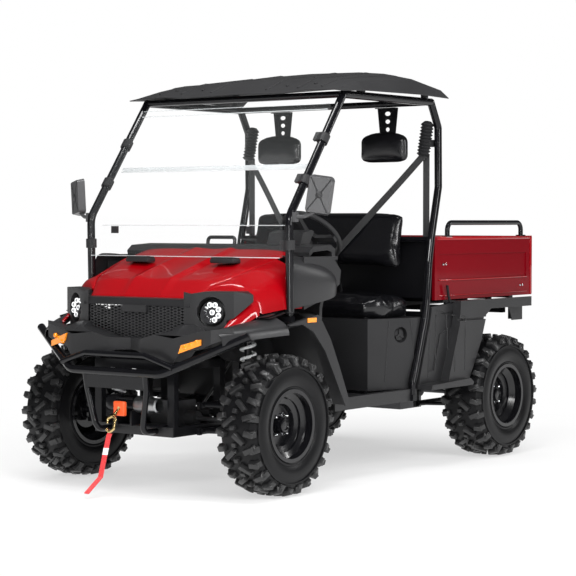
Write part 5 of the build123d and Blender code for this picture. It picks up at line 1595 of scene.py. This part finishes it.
def backdrop_material():
    """Floor that shows white to the camera and in gloss, with the shadow of the vehicle kept."""
    material = bpy.data.materials.new("Backdrop")
    material.use_nodes = True
    tree = material.node_tree
    tree.nodes.clear()
    leave = add_node(tree, "OutputMaterial")
    surface = add_node(tree, "BsdfDiffuse", {"Color": (0.80, 0.80, 0.80, 1)})
    glow = add_node(tree, "Emission", {"Color": (1, 1, 1, 1), "Strength": 1.0})
    path = add_node(tree, "LightPath")
    seen = add_node(tree, "Math", operation="MAXIMUM")
    glossy = add_node(tree, "Math", operation="MAXIMUM")
    # share of plain white, least under the vehicle so that its shadow shows, and full further out
    coordinates = add_node(tree, "TexCoord")
    distance = add_node(tree, "VectorMath", operation="LENGTH")
    fade = add_node(tree, "MapRange", {"From Min": 1.2, "From Max": 3.2, "To Min": 0.55, "To Max": 1.0})
    share = add_node(tree, "Math", operation="MULTIPLY")
    mixed = add_node(tree, "MixShader")
    wire(tree, (coordinates, "Object", distance, 0), (distance, "Value", fade, "Value"),
         (fade, "Result", share, 1), (path, "Is Camera Ray", seen, 0),
         (path, "Is Transmission Ray", seen, 1), (seen, 0, glossy, 0), (path, "Is Glossy Ray", glossy, 1),
         (glossy, 0, share, 0), (share, 0, mixed, "Fac"), (surface, "BSDF", mixed, 1),
         (glow, "Emission", mixed, 2), (mixed, 0, leave, "Surface"))
    return material


def surroundings():
    """World that lights the vehicle plainly and is white to the camera."""
    world = bpy.data.worlds.new("White Surroundings")
    world.use_nodes = True
    tree = world.node_tree
    light = tree.nodes["Background"]
    light.inputs["Color"].default_value = (1, 1, 1, 1)
    white = add_node(tree, "Background", {"Color": (1, 1, 1, 1), "Strength": 1.0})
    path = add_node(tree, "LightPath")
    dim = add_node(tree, "Math", {1: GLOSS_LIGHT - WORLD_LIGHT, 2: WORLD_LIGHT}, operation="MULTIPLY_ADD")
    seen = add_node(tree, "Math", operation="MAXIMUM")
    mixed = add_node(tree, "MixShader")
    wire(tree, (path, "Is Glossy Ray", dim, 0), (dim, 0, light, "Strength"),
         (path, "Is Camera Ray", seen, 0), (path, "Is Transmission Ray", seen, 1),
         (seen, 0, mixed, "Fac"), (light, "Background", mixed, 1), (white, "Background", mixed, 2),
         (mixed, 0, tree.nodes["World Output"], "Surface"))
    return world


def softbox(name, where, width, power, height):
    """Area lamp aimed at the vehicle."""
    clear_selection()
    turn = (LAMP_TARGET - Vector(where)).to_track_quat("-Z", "Y").to_euler()
    bpy.ops.object.light_add(type="AREA", location=where, rotation=turn)
    lamp = bpy.context.object
    lamp.name = name
    lamp.data.energy = power
    lamp.data.shape = "RECTANGLE"
    lamp.data.size = width
    lamp.data.size_y = height
    return lamp


class VEHICLE_OT_stage(bpy.types.Operator):
    """Set up the floor, the white surroundings, the lamps and the camera"""

    bl_idname = "vehicle.stage"
    bl_label = "Stage"

    def execute(self, context):
        settings = context.scene.vehicle_stage
        clear_selection()
        bpy.ops.object.camera_add(location=tuple(settings.eye),
                                  rotation=(math.pi / 2 - settings.elevation, 0, settings.azimuth))
        camera = context.object
        camera.name = "camera"
        camera.data.lens = settings.lens
        camera.data.sensor_width = 36
        camera.data.clip_end = 200
        context.scene.camera = camera
        clear_selection()
        bpy.ops.mesh.primitive_grid_add(x_subdivisions=4, y_subdivisions=4, size=60)
        floor = context.object
        floor.name = "stage_floor"
        floor.data.materials.append(backdrop_material())
        context.scene.world = surroundings()
        context.scene.view_settings.view_transform = "Standard"
        # broad lamps give the plain light, narrow ones the highlights in the gloss
        for row in BROAD_LAMPS:
            softbox(*row).visible_glossy = False
        for row in NARROW_LAMPS:
            softbox(*row)
        return {"FINISHED"}


class VEHICLE_PT_panel(bpy.types.Panel):
    """Sidebar panel that lists the sizes and the pieces"""

    bl_idname = "VEHICLE_PT_panel"
    bl_label = "Utility Vehicle"
    bl_space_type = "VIEW_3D"
    bl_region_type = "UI"
    bl_category = "Vehicle"

    def draw(self, context):
        layout = self.layout
        scene = context.scene
        for settings in (scene.vehicle_paint, scene.vehicle_tyres, scene.vehicle_seats,
                         scene.vehicle_stage):
            box = layout.box()
            for name in settings.__annotations__:
                box.prop(settings, name)
        for operator in OPERATORS:
            layout.operator(operator.bl_idname)


SETTINGS = {"vehicle_paint": PaintSettings, "vehicle_tyres": TyreSettings, "vehicle_seats": SeatSettings,
            "vehicle_stage": StageSettings}
OPERATORS = [VEHICLE_OT_stage, VEHICLE_OT_finishes, VEHICLE_OT_tyres, VEHICLE_OT_wheels, VEHICLE_OT_springs,
             VEHICLE_OT_lamps, VEHICLE_OT_grille, VEHICLE_OT_belts, VEHICLE_OT_seats, VEHICLE_OT_body,
             VEHICLE_OT_hood, VEHICLE_OT_windscreen, VEHICLE_OT_bed, VEHICLE_OT_winch, VEHICLE_OT_lenses]


def register():
    for cls in (*SETTINGS.values(), *OPERATORS, VEHICLE_PT_panel):
        bpy.utils.register_class(cls)
    for name, cls in SETTINGS.items():
        setattr(bpy.types.Scene, name, bpy.props.PointerProperty(type=cls))


def unregister():
    for name in SETTINGS:
        delattr(bpy.types.Scene, name)
    for cls in (VEHICLE_PT_panel, *reversed(OPERATORS), *SETTINGS.values()):
        bpy.utils.unregister_class(cls)


def main():
    register()
    for operator in OPERATORS:
        category, name = operator.bl_idname.split(".")
        getattr(getattr(bpy.ops, category), name)()


if __name__ == "__main__":
    main()
